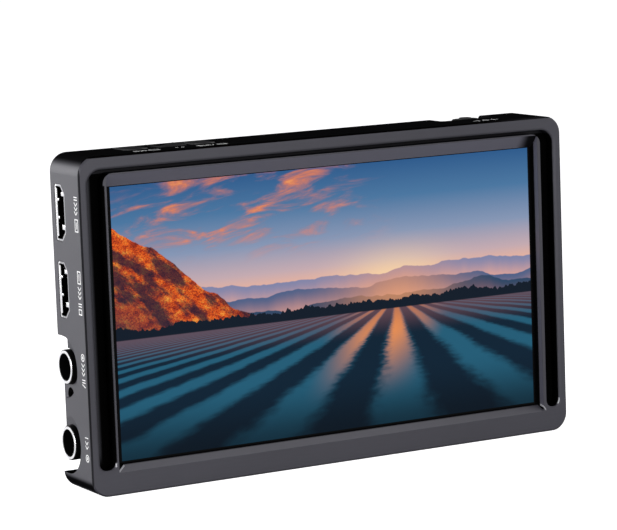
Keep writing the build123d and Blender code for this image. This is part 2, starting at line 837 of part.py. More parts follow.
with BuildPart() as frame_screws:
    for tab_height in frame_tab_heights:
        with BuildSketch(facing_front(frame_back)):
            with Locations((-frame_tab_x, tab_height), (frame_tab_x, tab_height)):
                Circle(small_head_radius)
        extrude(amount=-small_head_height)
        with BuildSketch(facing_front(frame_back)):
            with Locations((-frame_tab_x, tab_height), (frame_tab_x, tab_height)):
                Circle(small_shank_radius)
        extrude(amount=small_screw_length + frame_thickness - hole_clearance)
        with BuildSketch(facing_front(frame_back + small_head_height)):
            with Locations((-frame_tab_x, tab_height), (frame_tab_x, tab_height)):
                RegularPolygon(drive_radius, 6)
        extrude(amount=drive_depth, mode=Mode.SUBTRACT)
frame_screws.part.label = "frame_screws"
export_step(frame_screws.part, "parts/frame_screws.step")

# ---- Main board with its chips and screws ---------------------------------------------------------
with BuildPart() as main_board:
    with BuildSketch(facing_front(board_front)):
        RectangleRounded(board_width, board_height, board_corner_radius)
        with Locations(*board_screw_places):
            Circle(small_shank_radius + hole_clearance, mode=Mode.SUBTRACT)
    extrude(amount=-board_thickness)
main_board.part.label = "main_board"
export_step(main_board.part, "parts/main_board.step")

with BuildPart() as board_screws:
    with BuildSketch(facing_front(board_back)):
        with Locations(*board_screw_places):
            Circle(small_head_radius)
    extrude(amount=-small_head_height)
    with BuildSketch(facing_front(board_back)):
        with Locations(*board_screw_places):
            Circle(small_shank_radius)
    extrude(amount=board_thickness + standoff_height + frame_thickness)
    with BuildSketch(facing_front(board_back + small_head_height)):
        with Locations(*board_screw_places):
            RegularPolygon(drive_radius, 6)
    extrude(amount=drive_depth, mode=Mode.SUBTRACT)
board_screws.part.label = "board_screws"
export_step(board_screws.part, "parts/board_screws.step")

with BuildPart() as processor:
    with BuildSketch(facing_front(board_back)):
        with Locations(processor_place):
            Rectangle(processor_size, processor_size)
    extrude(amount=-chip_height)
processor.part.label = "processor"
export_step(processor.part, "parts/processor.step")

with BuildPart() as memory_chips:
    with BuildSketch(facing_front(board_back)):
        with Locations(*memory_places):
            Rectangle(memory_width, memory_height)
    extrude(amount=-chip_height)
memory_chips.part.label = "memory_chips"
export_step(memory_chips.part, "parts/memory_chips.step")

with BuildPart() as thermal_pad:
    with BuildSketch(facing_front(chip_back)):
        with Locations(processor_place):
            Rectangle(pad_size, pad_size)
    extrude(amount=-pad_thickness)
thermal_pad.part.label = "thermal_pad"
export_step(thermal_pad.part, "parts/thermal_pad.step")

with BuildPart() as heat_spreader:
    with BuildSketch(facing_front(chip_back + pad_thickness)):
        with Locations(processor_place):
            RectangleRounded(spreader_width, spreader_height, spreader_corner_radius)
    extrude(amount=-spreader_thickness)
heat_spreader.part.label = "heat_spreader"
export_step(heat_spreader.part, "parts/heat_spreader.step")

# ---- HDMI sockets: a bevelled metal shell and a contact tongue each -------------------------------
for hdmi_name, hdmi_height in hdmi_heights.items():
    hdmi_mouth = left_face + hdmi_inset
    with BuildPart() as hdmi_shell:
        with BuildSketch(facing_side(hdmi_mouth)):
            with Locations((hdmi_front, hdmi_height)):
                add(hdmi_outline(0))
        extrude(amount=hdmi_reach)
        with BuildSketch(facing_side(hdmi_mouth)):
            with Locations((hdmi_front, hdmi_height)):
                add(hdmi_outline(-hdmi_wall))
        extrude(amount=hdmi_reach - hdmi_wall, mode=Mode.SUBTRACT)
    hdmi_shell.part.label = hdmi_name + "_shell"
    export_step(hdmi_shell.part, "parts/" + hdmi_name + "_shell.step")

    with BuildPart() as hdmi_tongue:
        with BuildSketch(facing_side(hdmi_mouth + hdmi_tongue_inset)):
            with Locations((hdmi_front + hdmi_depth * hdmi_tongue_place, hdmi_height)):
                Rectangle(hdmi_tongue_thickness, hdmi_tongue_length)
        extrude(amount=hdmi_reach - hdmi_wall - hdmi_tongue_inset)
    hdmi_tongue.part.label = hdmi_name + "_tongue"
    export_step(hdmi_tongue.part, "parts/" + hdmi_name + "_tongue.step")

# ---- SDI sockets: a bayonet barrel on a block, an insulator and a centre contact each --------------
for sdi_name, sdi_height in sdi_heights.items():
    with BuildPart() as sdi_jack:
        with BuildSketch(facing_side(sdi_mouth)):
            with Locations((sdi_axis_depth, sdi_height)):
                Circle(sdi_barrel_radius)
        extrude(amount=bay_wall_inner - sdi_mouth)
        with BuildSketch(facing_side(bay_wall_inner)):
            with Locations(((board_back + sdi_axis_depth + sdi_block_depth) / 2, sdi_height)):
                Rectangle(sdi_axis_depth + sdi_block_depth - board_back, 2 * sdi_barrel_radius)
        extrude(amount=sdi_block_length)
        with BuildSketch(facing_front(sdi_axis_depth - sdi_barrel_radius - sdi_lug_height)):
            with Locations((sdi_mouth + sdi_lug_place, sdi_height)):
                Circle(sdi_lug_radius)
        extrude(amount=-2 * (sdi_barrel_radius + sdi_lug_height))
        chamfer(sdi_jack.edges().filter_by(GeomType.CIRCLE).sort_by(Axis.X)[0], sdi_wall_break)
        with BuildSketch(facing_side(sdi_mouth)):
            with Locations((sdi_axis_depth, sdi_height)):
                Circle(sdi_bore_radius)
        extrude(amount=sdi_bore_depth, mode=Mode.SUBTRACT)
    sdi_jack.part.label = sdi_name + "_jack"
    export_step(sdi_jack.part, "parts/" + sdi_name + "_jack.step")

    with BuildPart() as sdi_insulator:
        with BuildSketch(facing_side(sdi_mouth + sdi_bore_depth)):
            with Locations((sdi_axis_depth, sdi_height)):
                Circle(sdi_insulator_radius)
        extrude(amount=-sdi_insulator_length)
        with BuildSketch(facing_side(sdi_mouth + sdi_bore_depth)):
            with Locations((sdi_axis_depth, sdi_height)):
                Circle(sdi_pin_radius + screw_clearance)
        extrude(amount=-sdi_insulator_length, mode=Mode.SUBTRACT)
    sdi_insulator.part.label = sdi_name + "_insulator"
    export_step(sdi_insulator.part, "parts/" + sdi_name + "_insulator.step")

    with BuildPart() as sdi_contact:
        with BuildSketch(facing_side(sdi_mouth + sdi_bore_depth)):
            with Locations((sdi_axis_depth, sdi_height)):
                Circle(sdi_pin_radius)
        extrude(amount=-sdi_pin_length)
        with BuildSketch(facing_side(sdi_mouth + sdi_bore_depth - sdi_pin_length)):
            with Locations((sdi_axis_depth, sdi_height)):
                Circle(sdi_pin_radius / 2)
        extrude(amount=sdi_pin_length / 2, mode=Mode.SUBTRACT)
    sdi_contact.part.label = sdi_name + "_contact"
    export_step(sdi_contact.part, "parts/" + sdi_name + "_contact.step")

with BuildPart() as bracket_screw:
    with BuildSketch(facing_side(web_outer + bracket_screw_recess)):
        with Locations((bracket_screw_depth, bracket_screw_height)):
            Circle(small_head_radius)
    extrude(amount=-(bracket_screw_recess - screw_clearance))
    with BuildSketch(facing_side(web_outer + bracket_screw_recess)):
        with Locations((bracket_screw_depth, bracket_screw_height)):
            Circle(small_shank_radius)
    extrude(amount=bay_wall_inner - web_outer - bracket_screw_recess)
    with BuildSketch(facing_side(web_outer + screw_clearance)):
        with Locations((bracket_screw_depth, bracket_screw_height)):
            RegularPolygon(drive_radius, 6)
    extrude(amount=drive_depth, mode=Mode.SUBTRACT)
bracket_screw.part.label = "bracket_screw"
export_step(bracket_screw.part, "parts/bracket_screw.step")

# ---- Top keys, their rocker and pin ---------------------------------------------------------------
for key_name, key_x in key_places.items():
    with BuildPart() as top_key:
        with BuildSketch(facing_top(half_height + key_proud)):
            with Locations((key_x, key_depth)):
                RectangleRounded(key_width, key_length, key_corner_radius)
        extrude(amount=-(key_proud + key_window + key_gap + key_flange))
        chamfer(top_key.faces().sort_by(Axis.Z)[-1].edges(), key_edge)
        with BuildSketch(facing_top(key_step - key_gap)):
            with Locations((key_x, key_depth)):
                Rectangle(key_width + 2 * key_flange_overhang, key_length)
        extrude(amount=-key_flange)
        with BuildSketch(facing_top(key_step - key_gap - key_flange)):
            with Locations((key_x, key_depth)):
                Circle(key_stem_radius)
        extrude(amount=key_stem_bottom - (key_step - key_gap - key_flange))
        with BuildSketch(facing_front(key_depth - key_length)):
            with Locations((key_x, half_height + key_proud - key_dish_depth + key_dish_radius)):
                Circle(key_dish_radius)
        extrude(amount=-2 * key_length, mode=Mode.SUBTRACT)
    top_key.part.label = key_name
    export_step(top_key.part, "parts/" + key_name + ".step")

with BuildPart() as level_rocker:
    with BuildSketch(facing_front(key_depth - key_length / 2)):
        with BuildLine():
            Polyline(
                (rocker_place - rocker_width / 2, half_height + key_proud),
                (rocker_place, half_height + key_proud - rocker_dip),
                (rocker_place + rocker_width / 2, half_height + key_proud),
                (rocker_place + rocker_width / 2 - rocker_taper, half_height - rocker_pin_drop),
                (rocker_place + rocker_hub, half_height - rocker_pin_drop - rocker_hub),
                (rocker_place - rocker_hub, half_height - rocker_pin_drop - rocker_hub),
                (rocker_place - rocker_width / 2 + rocker_taper, half_height - rocker_pin_drop),
                close=True,
            )
        make_face()
    extrude(amount=-key_length)
    for side in (-1, 1):
        with BuildSketch(facing_top(half_height - rocker_pin_drop + rocker_hub / 2)):
            with Locations((rocker_place + side * rocker_foot_place, key_depth)):
                Circle(rocker_foot_radius)
        extrude(amount=key_stem_bottom - (half_height - rocker_pin_drop + rocker_hub / 2))
    with BuildSketch(facing_front(key_depth - key_length / 2)):
        with Locations((rocker_place, half_height - rocker_pin_drop)):
            Circle(rocker_pin_radius + rocker_pin_clearance)
    extrude(amount=-key_length, mode=Mode.SUBTRACT)
level_rocker.part.label = "level_rocker"
export_step(level_rocker.part, "parts/level_rocker.step")

with BuildPart() as rocker_pin:
    pin_half_length = key_length / 2 + key_clearance + rocker_pin_overhang - key_gap
    with BuildSketch(facing_front(key_depth - pin_half_length)):
        with Locations((rocker_place, half_height - rocker_pin_drop)):
            Circle(rocker_pin_radius)
    extrude(amount=-2 * pin_half_length)
rocker_pin.part.label = "rocker_pin"
export_step(rocker_pin.part, "parts/rocker_pin.step")

# ---- Key board under the top rail, with a switch under each key -----------------------------------
with BuildPart() as key_board:
    with BuildSketch(facing_top(key_board_top)):
        with Locations(((key_board_left + key_board_right) / 2, key_depth)):
            Rectangle(key_board_right - key_board_left, key_board_length)
        with Locations((key_post_place, key_depth)):
            Circle(small_shank_radius + hole_clearance, mode=Mode.SUBTRACT)
    extrude(amount=-key_board_thickness)
key_board.part.label = "key_board"
export_step(key_board.part, "parts/key_board.step")

switch_places = [(x, key_depth) for x in key_places.values()]
switch_places += [(rocker_place + side * rocker_foot_place, key_depth) for side in (-1, 1)]
with BuildPart() as key_switches:
    for index, place in enumerate(switch_places):
        size = switch_size if index < len(key_places) else rocker_switch_size
        with BuildSketch(facing_top(key_board_top)):
            with Locations(place):
                Rectangle(size, switch_size)
        extrude(amount=switch_body)
        with BuildSketch(facing_top(key_board_top + switch_body)):
            with Locations(place):
                Circle(switch_button_radius)
        extrude(amount=switch_button_height)
key_switches.part.label = "key_switches"
export_step(key_switches.part, "parts/key_switches.step")

with BuildPart() as power_board:
    with BuildSketch(facing_top(power_board_top)):
        with Locations((power_place, key_depth)):
            Rectangle(2 * (power_post_reach + key_post_radius), power_board_length)
        for side in (-1, 1):
            with Locations((power_place + side * power_post_reach, key_depth)):
                Circle(small_shank_radius + hole_clearance, mode=Mode.SUBTRACT)
    extrude(amount=-key_board_thickness)
power_board.part.label = "power_board"
export_step(power_board.part, "parts/power_board.step")

with BuildPart() as power_switch:
    with BuildSketch(facing_top(power_board_top)):
        with Locations((power_place, power_depth - power_switch_shift)):
            Rectangle(switch_size, switch_size)
    extrude(amount=switch_body)
    with BuildSketch(facing_top(power_board_top + switch_body)):
        with Locations((power_place, power_depth - power_switch_shift)):
            Circle(switch_button_radius)
    extrude(amount=switch_button_height)
power_switch.part.label = "power_switch"
export_step(power_switch.part, "parts/power_switch.step")

with BuildPart() as power_key:
    with BuildSketch(facing_top(half_height - power_top)):
        with Locations((power_place, power_depth)):
            RectangleRounded(power_cap_length, power_cap_width, power_cap_radius)
    extrude(amount=power_cap_bottom - (half_height - power_top))
    chamfer(power_key.faces().sort_by(Axis.Z)[-1].edges(), key_edge)
    with BuildSketch(facing_top(power_cap_bottom)):
        with Locations((power_place, power_depth)):
            Circle(power_radius)
    extrude(amount=cavity_half_height + power_neck - power_cap_bottom)
    with BuildSketch(facing_top(half_height - power_top)):
        with Locations((power_place, power_depth)):
            Circle(power_crown_radius)
    extrude(amount=power_crown_height, taper=power_crown_slant)
    with BuildSketch(facing_top(cavity_half_height + power_neck)):
        with Locations((power_place, power_depth - power_flange_shift)):
            Rectangle(power_neck_width, power_flange_length)
    extrude(amount=power_flange_top - power_flange - (cavity_half_height + power_neck))
    with BuildSketch(facing_top(power_flange_top)):
        with Locations((power_place, power_depth - power_flange_shift)):
            Rectangle(power_flange_width, power_flange_length)
    extrude(amount=-power_flange)
    with BuildSketch(facing_top(power_flange_top - power_flange)):
        with Locations((power_place, power_depth - power_switch_shift)):
            Circle(key_stem_radius)
    extrude(amount=power_stem_bottom - (power_flange_top - power_flange))
power_key.part.label = "power_key"
export_step(power_key.part, "parts/power_key.step")

board_post_places = [(key_post_place, key_board_bottom, key_board_top)]
for side in (-1, 1):
    board_post_places.append(
        (power_place + side * power_post_reach, power_board_top - key_board_thickness, power_board_top)
    )
with BuildPart() as key_board_screws:
    for screw_x, screw_seat, post_end in board_post_places:
        with BuildSketch(facing_top(screw_seat)):
            with Locations((screw_x, key_depth)):
                Circle(small_head_radius)
        extrude(amount=-small_head_height)
        with BuildSketch(facing_top(screw_seat)):
            with Locations((screw_x, key_depth)):
                Circle(small_shank_radius)
        extrude(amount=post_end - screw_seat + small_screw_length - hole_clearance)
        with BuildSketch(facing_top(screw_seat - small_head_height)):
            with Locations((screw_x, key_depth)):
                RegularPolygon(drive_radius, 6)
        extrude(amount=drive_depth, mode=Mode.SUBTRACT)
key_board_screws.part.label = "key_board_screws"
export_step(key_board_screws.part, "parts/key_board_screws.step")

# ---- Flat flexes between the boards, and their connectors -----------------------------------------
panel_flex_bottom = -board_height / 2 - flex_drop
with BuildPart() as panel_flex:
    with BuildSketch(facing_front(tray_back)):
        with Locations((0, (panel_flex_top + panel_flex_bottom) / 2)):
            Rectangle(panel_flex_width, panel_flex_top - panel_flex_bottom)
    extrude(amount=-flex_thickness)
    with BuildSketch(facing_top(panel_flex_bottom)):
        with Locations((0, (tray_back + board_back + connector_depth) / 2)):
            Rectangle(panel_flex_width, board_back + connector_depth - tray_back)
    extrude(amount=flex_thickness)
    with BuildSketch(facing_front(board_back + connector_depth)):
        with Locations((0, (panel_flex_bottom - board_height / 2 + flex_drop) / 2)):
            Rectangle(panel_flex_width, -board_height / 2 + flex_drop - panel_flex_bottom)
    extrude(amount=flex_thickness)
panel_flex.part.label = "panel_flex"
export_step(panel_flex.part, "parts/panel_flex.step")

key_flex_bottom = board_height / 2 - key_flex_reach
flex_back = board_back + connector_depth
with BuildPart() as key_flex:
    with BuildSketch(facing_front(flex_back)):
        with Locations((key_flex_place, (key_flex_bottom + key_board_bottom) / 2)):
            Rectangle(key_flex_width, key_board_bottom - key_flex_bottom)
    extrude(amount=-flex_thickness)
key_flex.part.label = "key_flex"
export_step(key_flex.part, "parts/key_flex.step")

power_board_bottom = power_board_top - key_board_thickness
with BuildPart() as power_flex:
    with BuildSketch(facing_front(flex_back)):
        with Locations((power_place, (key_flex_bottom + power_board_bottom) / 2)):
            Rectangle(key_flex_width, power_board_bottom - key_flex_bottom)
    extrude(amount=-flex_thickness)
power_flex.part.label = "power_flex"
export_step(power_flex.part, "parts/power_flex.step")

with BuildPart() as flex_connectors:
    with BuildSketch(facing_front(board_back)):
        with Locations((0, -board_height / 2 + flex_drop + connector_height / 2)):
            Rectangle(panel_flex_width + 2 * connector_overhang, connector_height)
        for flex_x in (key_flex_place, power_place):
            with Locations((flex_x, key_flex_bottom + connector_height / 4)):
                Rectangle(key_flex_width + 2 * connector_overhang, connector_height / 2)
    extrude(amount=-connector_depth)
flex_connectors.part.label = "flex_connectors"
export_step(flex_connectors.part, "parts/flex_connectors.step")

# ---- Ports in the right wall ----------------------------------------------------------------------
with BuildPart() as dc_jack:
    with BuildSketch(facing_side(cavity_half_width)):
        with Locations(((board_back + cover_front) / 2, dc_height)):
            Rectangle(cover_front - board_back - port_clearance, dc_body_height)
    extrude(amount=-dc_body_length)
    with BuildSketch(facing_side(cavity_half_width)):
        with Locations((dc_axis_depth, dc_height)):
            Circle(dc_nose_radius)
    extrude(amount=side_wall - nose_inset)
    with BuildSketch(facing_side(right_face - nose_inset)):
        with Locations((dc_axis_depth, dc_height)):
            Circle(dc_bore_radius)
    extrude(amount=-dc_bore_depth, mode=Mode.SUBTRACT)
dc_jack.part.label = "dc_jack"
export_step(dc_jack.part, "parts/dc_jack.step")

with BuildPart() as dc_pin:
    with BuildSketch(facing_side(right_face - nose_inset - dc_bore_depth)):
        with Locations((dc_axis_depth, dc_height)):
            Circle(dc_pin_radius)
    extrude(amount=dc_pin_length)
    fillet(dc_pin.edges().filter_by(GeomType.CIRCLE).sort_by(Axis.X)[-1], dc_pin_radius / 2)
dc_pin.part.label = "dc_pin"
export_step(dc_pin.part, "parts/dc_pin.step")

with BuildPart() as headphone_jack:
    with BuildSketch(facing_side(cavity_half_width)):
        with Locations((audio_axis_depth, audio_height)):
            Rectangle(2 * (audio_axis_depth - board_back), audio_body_height)
    extrude(amount=-audio_body_length)
    with BuildSketch(facing_side(cavity_half_width)):
        with Locations((audio_axis_depth, audio_height)):
            Circle(audio_nose_radius)
    extrude(amount=side_wall - nose_inset)
    with BuildSketch(facing_side(right_face - nose_inset)):
        with Locations((audio_axis_depth, audio_height)):
            Circle(audio_bore_radius)
    extrude(amount=-audio_bore_depth, mode=Mode.SUBTRACT)
headphone_jack.part.label = "headphone_jack"
export_step(headphone_jack.part, "parts/headphone_jack.step")

with BuildPart() as usb_shell:
    with BuildSketch(facing_side(right_face - nose_inset)):
        with Locations((usb_depth, usb_height)):
            RectangleRounded(usb_thickness, usb_width, usb_corner_radius)
    extrude(amount=-usb_reach)
    with BuildSketch(facing_side(right_face - nose_inset)):
        with Locations((usb_depth, usb_height)):
            RectangleRounded(
                usb_thickness - 2 * usb_wall, usb_width - 2 * usb_wall, usb_corner_radius - usb_wall
            )
    extrude(amount=usb_wall - usb_reach, mode=Mode.SUBTRACT)
usb_shell.part.label = "usb_shell"
export_step(usb_shell.part, "parts/usb_shell.step")

with BuildPart() as usb_tongue:
    with BuildSketch(facing_side(right_face - nose_inset - usb_tongue_inset)):
        with Locations((usb_depth, usb_height)):
            Rectangle(usb_tongue_thickness, usb_tongue_width)
    extrude(amount=usb_wall + usb_tongue_inset - usb_reach)
usb_tongue.part.label = "usb_tongue"
export_step(usb_tongue.part, "parts/usb_tongue.step")

# ---- Threaded tripod inserts, blind at the inner end ----------------------------------------------
with BuildPart() as bottom_insert:
    with BuildSketch(facing_top(-half_height)):
        with Locations((0, housing_depth / 2)):
            Circle(insert_radius)
    extrude(amount=insert_length)
    with BuildSketch(facing_top(-half_height)):
        with Locations((0, housing_depth / 2)):
            Circle(insert_bore_radius)
    extrude(amount=insert_bore_depth, mode=Mode.SUBTRACT)
bottom_insert.part.label = "bottom_insert"
export_step(bottom_insert.part, "parts/bottom_insert.step")

with BuildPart() as side_insert:
    with BuildSketch(facing_side(right_face)):
        with Locations((side_insert_depth, side_insert_height)):
            Circle(insert_radius)
    extrude(amount=-insert_length)
    with BuildSketch(facing_side(right_face)):
        with Locations((side_insert_depth, side_insert_height)):
            Circle(insert_bore_radius)
    extrude(amount=-insert_bore_depth, mode=Mode.SUBTRACT)
side_insert.part.label = "side_insert"
export_step(side_insert.part, "parts/side_insert.step")

# ---- Rear cover: a plate with a hollow hump, vents, and a wall that closes the SDI bay ------------
hump_width = hump_right - hump_left
hump_height_z = hump_top - hump_bottom
hump_centre = ((hump_left + hump_right) / 2, (hump_top + hump_bottom) / 2)
with BuildPart() as rear_cover:
    with BuildSketch(facing_front(cover_front)):
        RectangleRounded(
            2 * (cavity_half_width - cover_clearance),
            2 * (cavity_half_height - cover_clearance),
            corner_radius - rail / 2,
        )
        with Locations((hump_left - housing_width / 2, (bay_top + bay_bottom) / 2 - rail / 2)):
            Rectangle(housing_width, bay_top - bay_bottom + rail, mode=Mode.SUBTRACT)
    extrude(amount=-cover_thickness)
    with BuildSketch(facing_front(cover_back)):
        with Locations(hump_centre):
            RectangleRounded(hump_width, hump_height_z, hump_corner_radius)
        with Locations(*cover_screw_places):
            Circle(hump_scallop, mode=Mode.SUBTRACT)
    extrude(amount=-hump_height)
    chamfer(rear_cover.faces().sort_by(Axis.Y)[-1].edges(), hump_edge)
    with BuildSketch(facing_front(cover_front)):
        with Locations(hump_centre):
            Rectangle(hump_width - 2 * cover_thickness, hump_height_z - 2 * cover_thickness)
        with Locations(*cover_screw_places):
            Circle(hump_scallop + cover_thickness, mode=Mode.SUBTRACT)
    extrude(amount=-(hump_inside - cover_front), mode=Mode.SUBTRACT)

    # the bay's inner wall and ceiling
    with BuildSketch(facing_side(bay_wall_outer)):
        with Locations(((board_back + cover_back) / 2 + key_gap, (bay_top + bay_bottom) / 2)):
            Rectangle(cover_back - board_back - 2 * key_gap, bay_top - bay_bottom)
    extrude(amount=cover_thickness)
    with BuildSketch(facing_top(bay_top)):
        with Locations(
            ((bay_wall_inner - cavity_half_width + cover_clearance) / 2, (board_back + cover_back) / 2)
        ):
            Rectangle(
                bay_wall_inner + cavity_half_width - cover_clearance, cover_back - board_back - 2 * key_gap
            )
    extrude(amount=cover_thickness)
    with BuildSketch(facing_side(web_inner)):
        with Locations((bracket_screw_depth, bracket_screw_height)):
            Circle(bracket_boss_radius)
    extrude(amount=bay_wall_outer - web_inner)
    with BuildSketch(facing_side(bay_wall_outer)):
        for socket_height in sdi_heights.values():
            with Locations((sdi_axis_depth, socket_height)):
                Circle(sdi_slot_radius)
            with Locations((sdi_axis_depth - housing_depth / 2, socket_height)):
                Rectangle(housing_depth, 2 * sdi_slot_radius)
    extrude(amount=cover_thickness, mode=Mode.SUBTRACT)
    with BuildSketch(facing_side(web_inner)):
        with Locations((bracket_screw_depth, bracket_screw_height)):
            Circle(small_shank_radius + screw_clearance)
    extrude(amount=bay_wall_inner - web_inner, mode=Mode.SUBTRACT)

    # screw holes, vents and lead holes
    with BuildSketch(facing_front(cover_front)):
        with Locations(*cover_screw_places):
            Circle(small_shank_radius + hole_clearance)
    extrude(amount=-cover_thickness, mode=Mode.SUBTRACT)
    with BuildSketch(facing_front(hump_inside)):
        with Locations(*vent_places):
            with GridLocations(vent_pitch, 1, vent_count, 1):
                SlotOverall(vent_length, vent_width, rotation=90)
        with Locations(*plate_screw_places):
            Circle(small_shank_radius + screw_clearance)
        with Locations((0, contact_block_place)):
            with GridLocations(lead_pitch, 1, 2, 1):
                Circle(lead_hole_radius)
    extrude(amount=-cover_thickness, mode=Mode.SUBTRACT)
rear_cover.part.label = "rear_cover"
export_step(rear_cover.part, "parts/rear_cover.step")

with BuildPart() as cover_screws:
    with BuildSketch(facing_front(cover_back)):
        with Locations(*cover_screw_places):
            Circle(small_head_radius)
    extrude(amount=-small_head_height)
    with BuildSketch(facing_front(cover_back)):
        with Locations(*cover_screw_places):
            Circle(small_shank_radius)
    extrude(amount=cover_thickness + cover_screw_length - hole_clearance)
    with BuildSketch(facing_front(cover_back + small_head_height)):
        with Locations(*cover_screw_places):
            RegularPolygon(drive_radius, 6)
    extrude(amount=drive_depth, mode=Mode.SUBTRACT)
cover_screws.part.label = "cover_screws"
export_step(cover_screws.part, "parts/cover_screws.step")

# ---- Battery plate: hooks, contact block and a well for the sprung latch --------------------------
with BuildPart() as battery_plate:
    with BuildSketch(facing_front(plate_front)):
        RectangleRounded(battery_plate_width, battery_plate_height, battery_plate_radius)
    extrude(amount=-battery_plate_thickness)
    chamfer(battery_plate.faces().sort_by(Axis.Y)[-1].edges(), battery_plate_edge)
    with BuildSketch(facing_front(plate_back)):
        with Locations(*hook_places):
            Rectangle(hook_neck_width, hook_length)
    extrude(amount=-hook_neck_height)
    with BuildSketch(facing_front(plate_back + hook_neck_height)):
        with Locations(*hook_places):
            Rectangle(hook_head_width, hook_length)
    extrude(amount=-hook_head_height)
    with BuildSketch(facing_front(plate_back)):
        with Locations((0, contact_block_place)):
            Rectangle(contact_block_width, contact_block_height)
    extrude(amount=-contact_block_depth)
    with BuildSketch(facing_front(plate_back)):
        with Locations(latch_place):
            Rectangle(latch_width + 2 * latch_clearance, latch_height + 2 * latch_clearance)
    extrude(amount=latch_window, mode=Mode.SUBTRACT)
    with BuildSketch(facing_front(plate_back - latch_window)):
        with Locations(latch_place):
            Rectangle(
                latch_width + 2 * latch_clearance,
                latch_height + 2 * (latch_flange_overhang + latch_clearance),
            )
    extrude(amount=plate_back - latch_window - latch_well_bottom, mode=Mode.SUBTRACT)
    with BuildSketch(facing_front(plate_front)):
        with Locations((0, contact_block_place)):
            with GridLocations(lead_pitch, 1, 2, 1):
                Circle(lead_hole_radius)
        with Locations(*plate_screw_places):
            Circle(small_shank_radius + hole_clearance)
    extrude(amount=-battery_plate_thickness, mode=Mode.SUBTRACT)
    with BuildSketch(facing_front(plate_back)):
        with Locations(*plate_screw_places):
            Circle(small_head_radius + hole_clearance)
    extrude(amount=small_head_height, mode=Mode.SUBTRACT)
battery_plate.part.label = "battery_plate"
export_step(battery_plate.part, "parts/battery_plate.step")

plate_screw_seat = plate_back - small_head_height
with BuildPart() as plate_screws:
    with BuildSketch(facing_front(plate_screw_seat)):
        with Locations(*plate_screw_places):
            Circle(small_head_radius)
    extrude(amount=-(small_head_height - screw_clearance))
    with BuildSketch(facing_front(plate_screw_seat)):
        with Locations(*plate_screw_places):
            Circle(small_shank_radius)
    extrude(amount=plate_screw_length)
    with BuildSketch(facing_front(plate_back - screw_clearance)):
        with Locations(*plate_screw_places):
            RegularPolygon(drive_radius, 6)
    extrude(amount=drive_depth, mode=Mode.SUBTRACT)
plate_screws.part.label = "plate_screws"
export_step(plate_screws.part, "parts/plate_screws.step")

with BuildPart() as battery_contacts:
    with BuildSketch(facing_top(contact_block_place + contact_block_height / 2)):
        with Locations((0, plate_back + contact_block_depth / 2)):
            with GridLocations(blade_pitch, 1, blade_count, 1):
                Rectangle(blade_width, blade_depth)
    extrude(amount=blade_length)
battery_contacts.part.label = "battery_contacts"
export_step(battery_contacts.part, "parts/battery_contacts.step")

with BuildPart() as battery_leads:
    with BuildSketch(facing_front(board_back)):
        with Locations((0, contact_block_place)):
            with GridLocations(lead_pitch, 1, 2, 1):
                Circle(lead_radius)
    extrude(amount=board_back - plate_back)
battery_leads.part.label = "battery_leads"
export_step(battery_leads.part, "parts/battery_leads.step")

# ---- Battery latch and its spring -----------------------------------------------------------------
latch_x, latch_z = latch_place
latch_top = plate_back + latch_proud
with BuildPart() as battery_latch:
    with BuildSketch(facing_side(latch_x - latch_width / 2)):
        with BuildLine():
            Polyline(
                (latch_flange_front, latch_z - latch_height / 2),
                (latch_top, latch_z - latch_height / 2),
                (latch_top, latch_z + latch_height / 2 - latch_ramp),
                (plate_back, latch_z + latch_height / 2),
                (latch_flange_front, latch_z + latch_height / 2),
                close=True,
            )
        make_face()
    extrude(amount=latch_width)
    with BuildSketch(facing_front(latch_flange_front)):
        with Locations(latch_place):
            Rectangle(latch_width, latch_height + 2 * latch_flange_overhang)
    extrude(amount=-latch_flange)
    with BuildSketch(facing_front(latch_flange_front)):
        with Locations(latch_place):
            Circle(latch_spring_hole)
    extrude(amount=-(latch_top - latch_cap - latch_flange_front), mode=Mode.SUBTRACT)
battery_latch.part.label = "battery_latch"
export_step(battery_latch.part, "parts/battery_latch.step")

spring_length = latch_top - latch_cap - latch_well_bottom - 2 * key_gap
spring_path = Helix(
    pitch=(spring_length - spring_wire) / spring_turns,
    height=spring_length - spring_wire,
    radius=spring_radius,
    center=(latch_x, front_y + latch_well_bottom + key_gap + spring_wire / 2, middle_z + latch_z),
    direction=(0, 1, 0),
)
with BuildPart() as latch_spring:
    with BuildSketch(Plane(origin=spring_path @ 0, z_dir=spring_path % 0)):
        Circle(spring_wire / 2)
    sweep(path=spring_path, is_frenet=True)
latch_spring.part.label = "latch_spring"
export_step(latch_spring.part, "parts/latch_spring.step")
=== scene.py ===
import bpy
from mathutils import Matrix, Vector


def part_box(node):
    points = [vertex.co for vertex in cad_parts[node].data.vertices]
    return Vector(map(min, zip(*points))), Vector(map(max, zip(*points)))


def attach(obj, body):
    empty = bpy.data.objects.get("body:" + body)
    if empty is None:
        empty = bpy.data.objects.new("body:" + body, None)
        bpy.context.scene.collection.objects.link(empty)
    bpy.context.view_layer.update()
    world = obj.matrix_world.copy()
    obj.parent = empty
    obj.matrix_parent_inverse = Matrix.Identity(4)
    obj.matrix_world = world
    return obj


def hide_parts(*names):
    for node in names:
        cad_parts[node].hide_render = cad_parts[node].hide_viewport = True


bl_info = {
    "name": "Field monitor dressing",
    "version": (1, 0, 0),
    "blender": (4, 5, 0),
    "location": "View3D > Sidebar > Monitor",
    "description": "Finishes, contacts, symbols and a studio for a camera field monitor",
    "category": "Object",
}

import math

import bpy
from bpy.props import FloatProperty, FloatVectorProperty, IntProperty, PointerProperty
from mathutils import Matrix, Vector

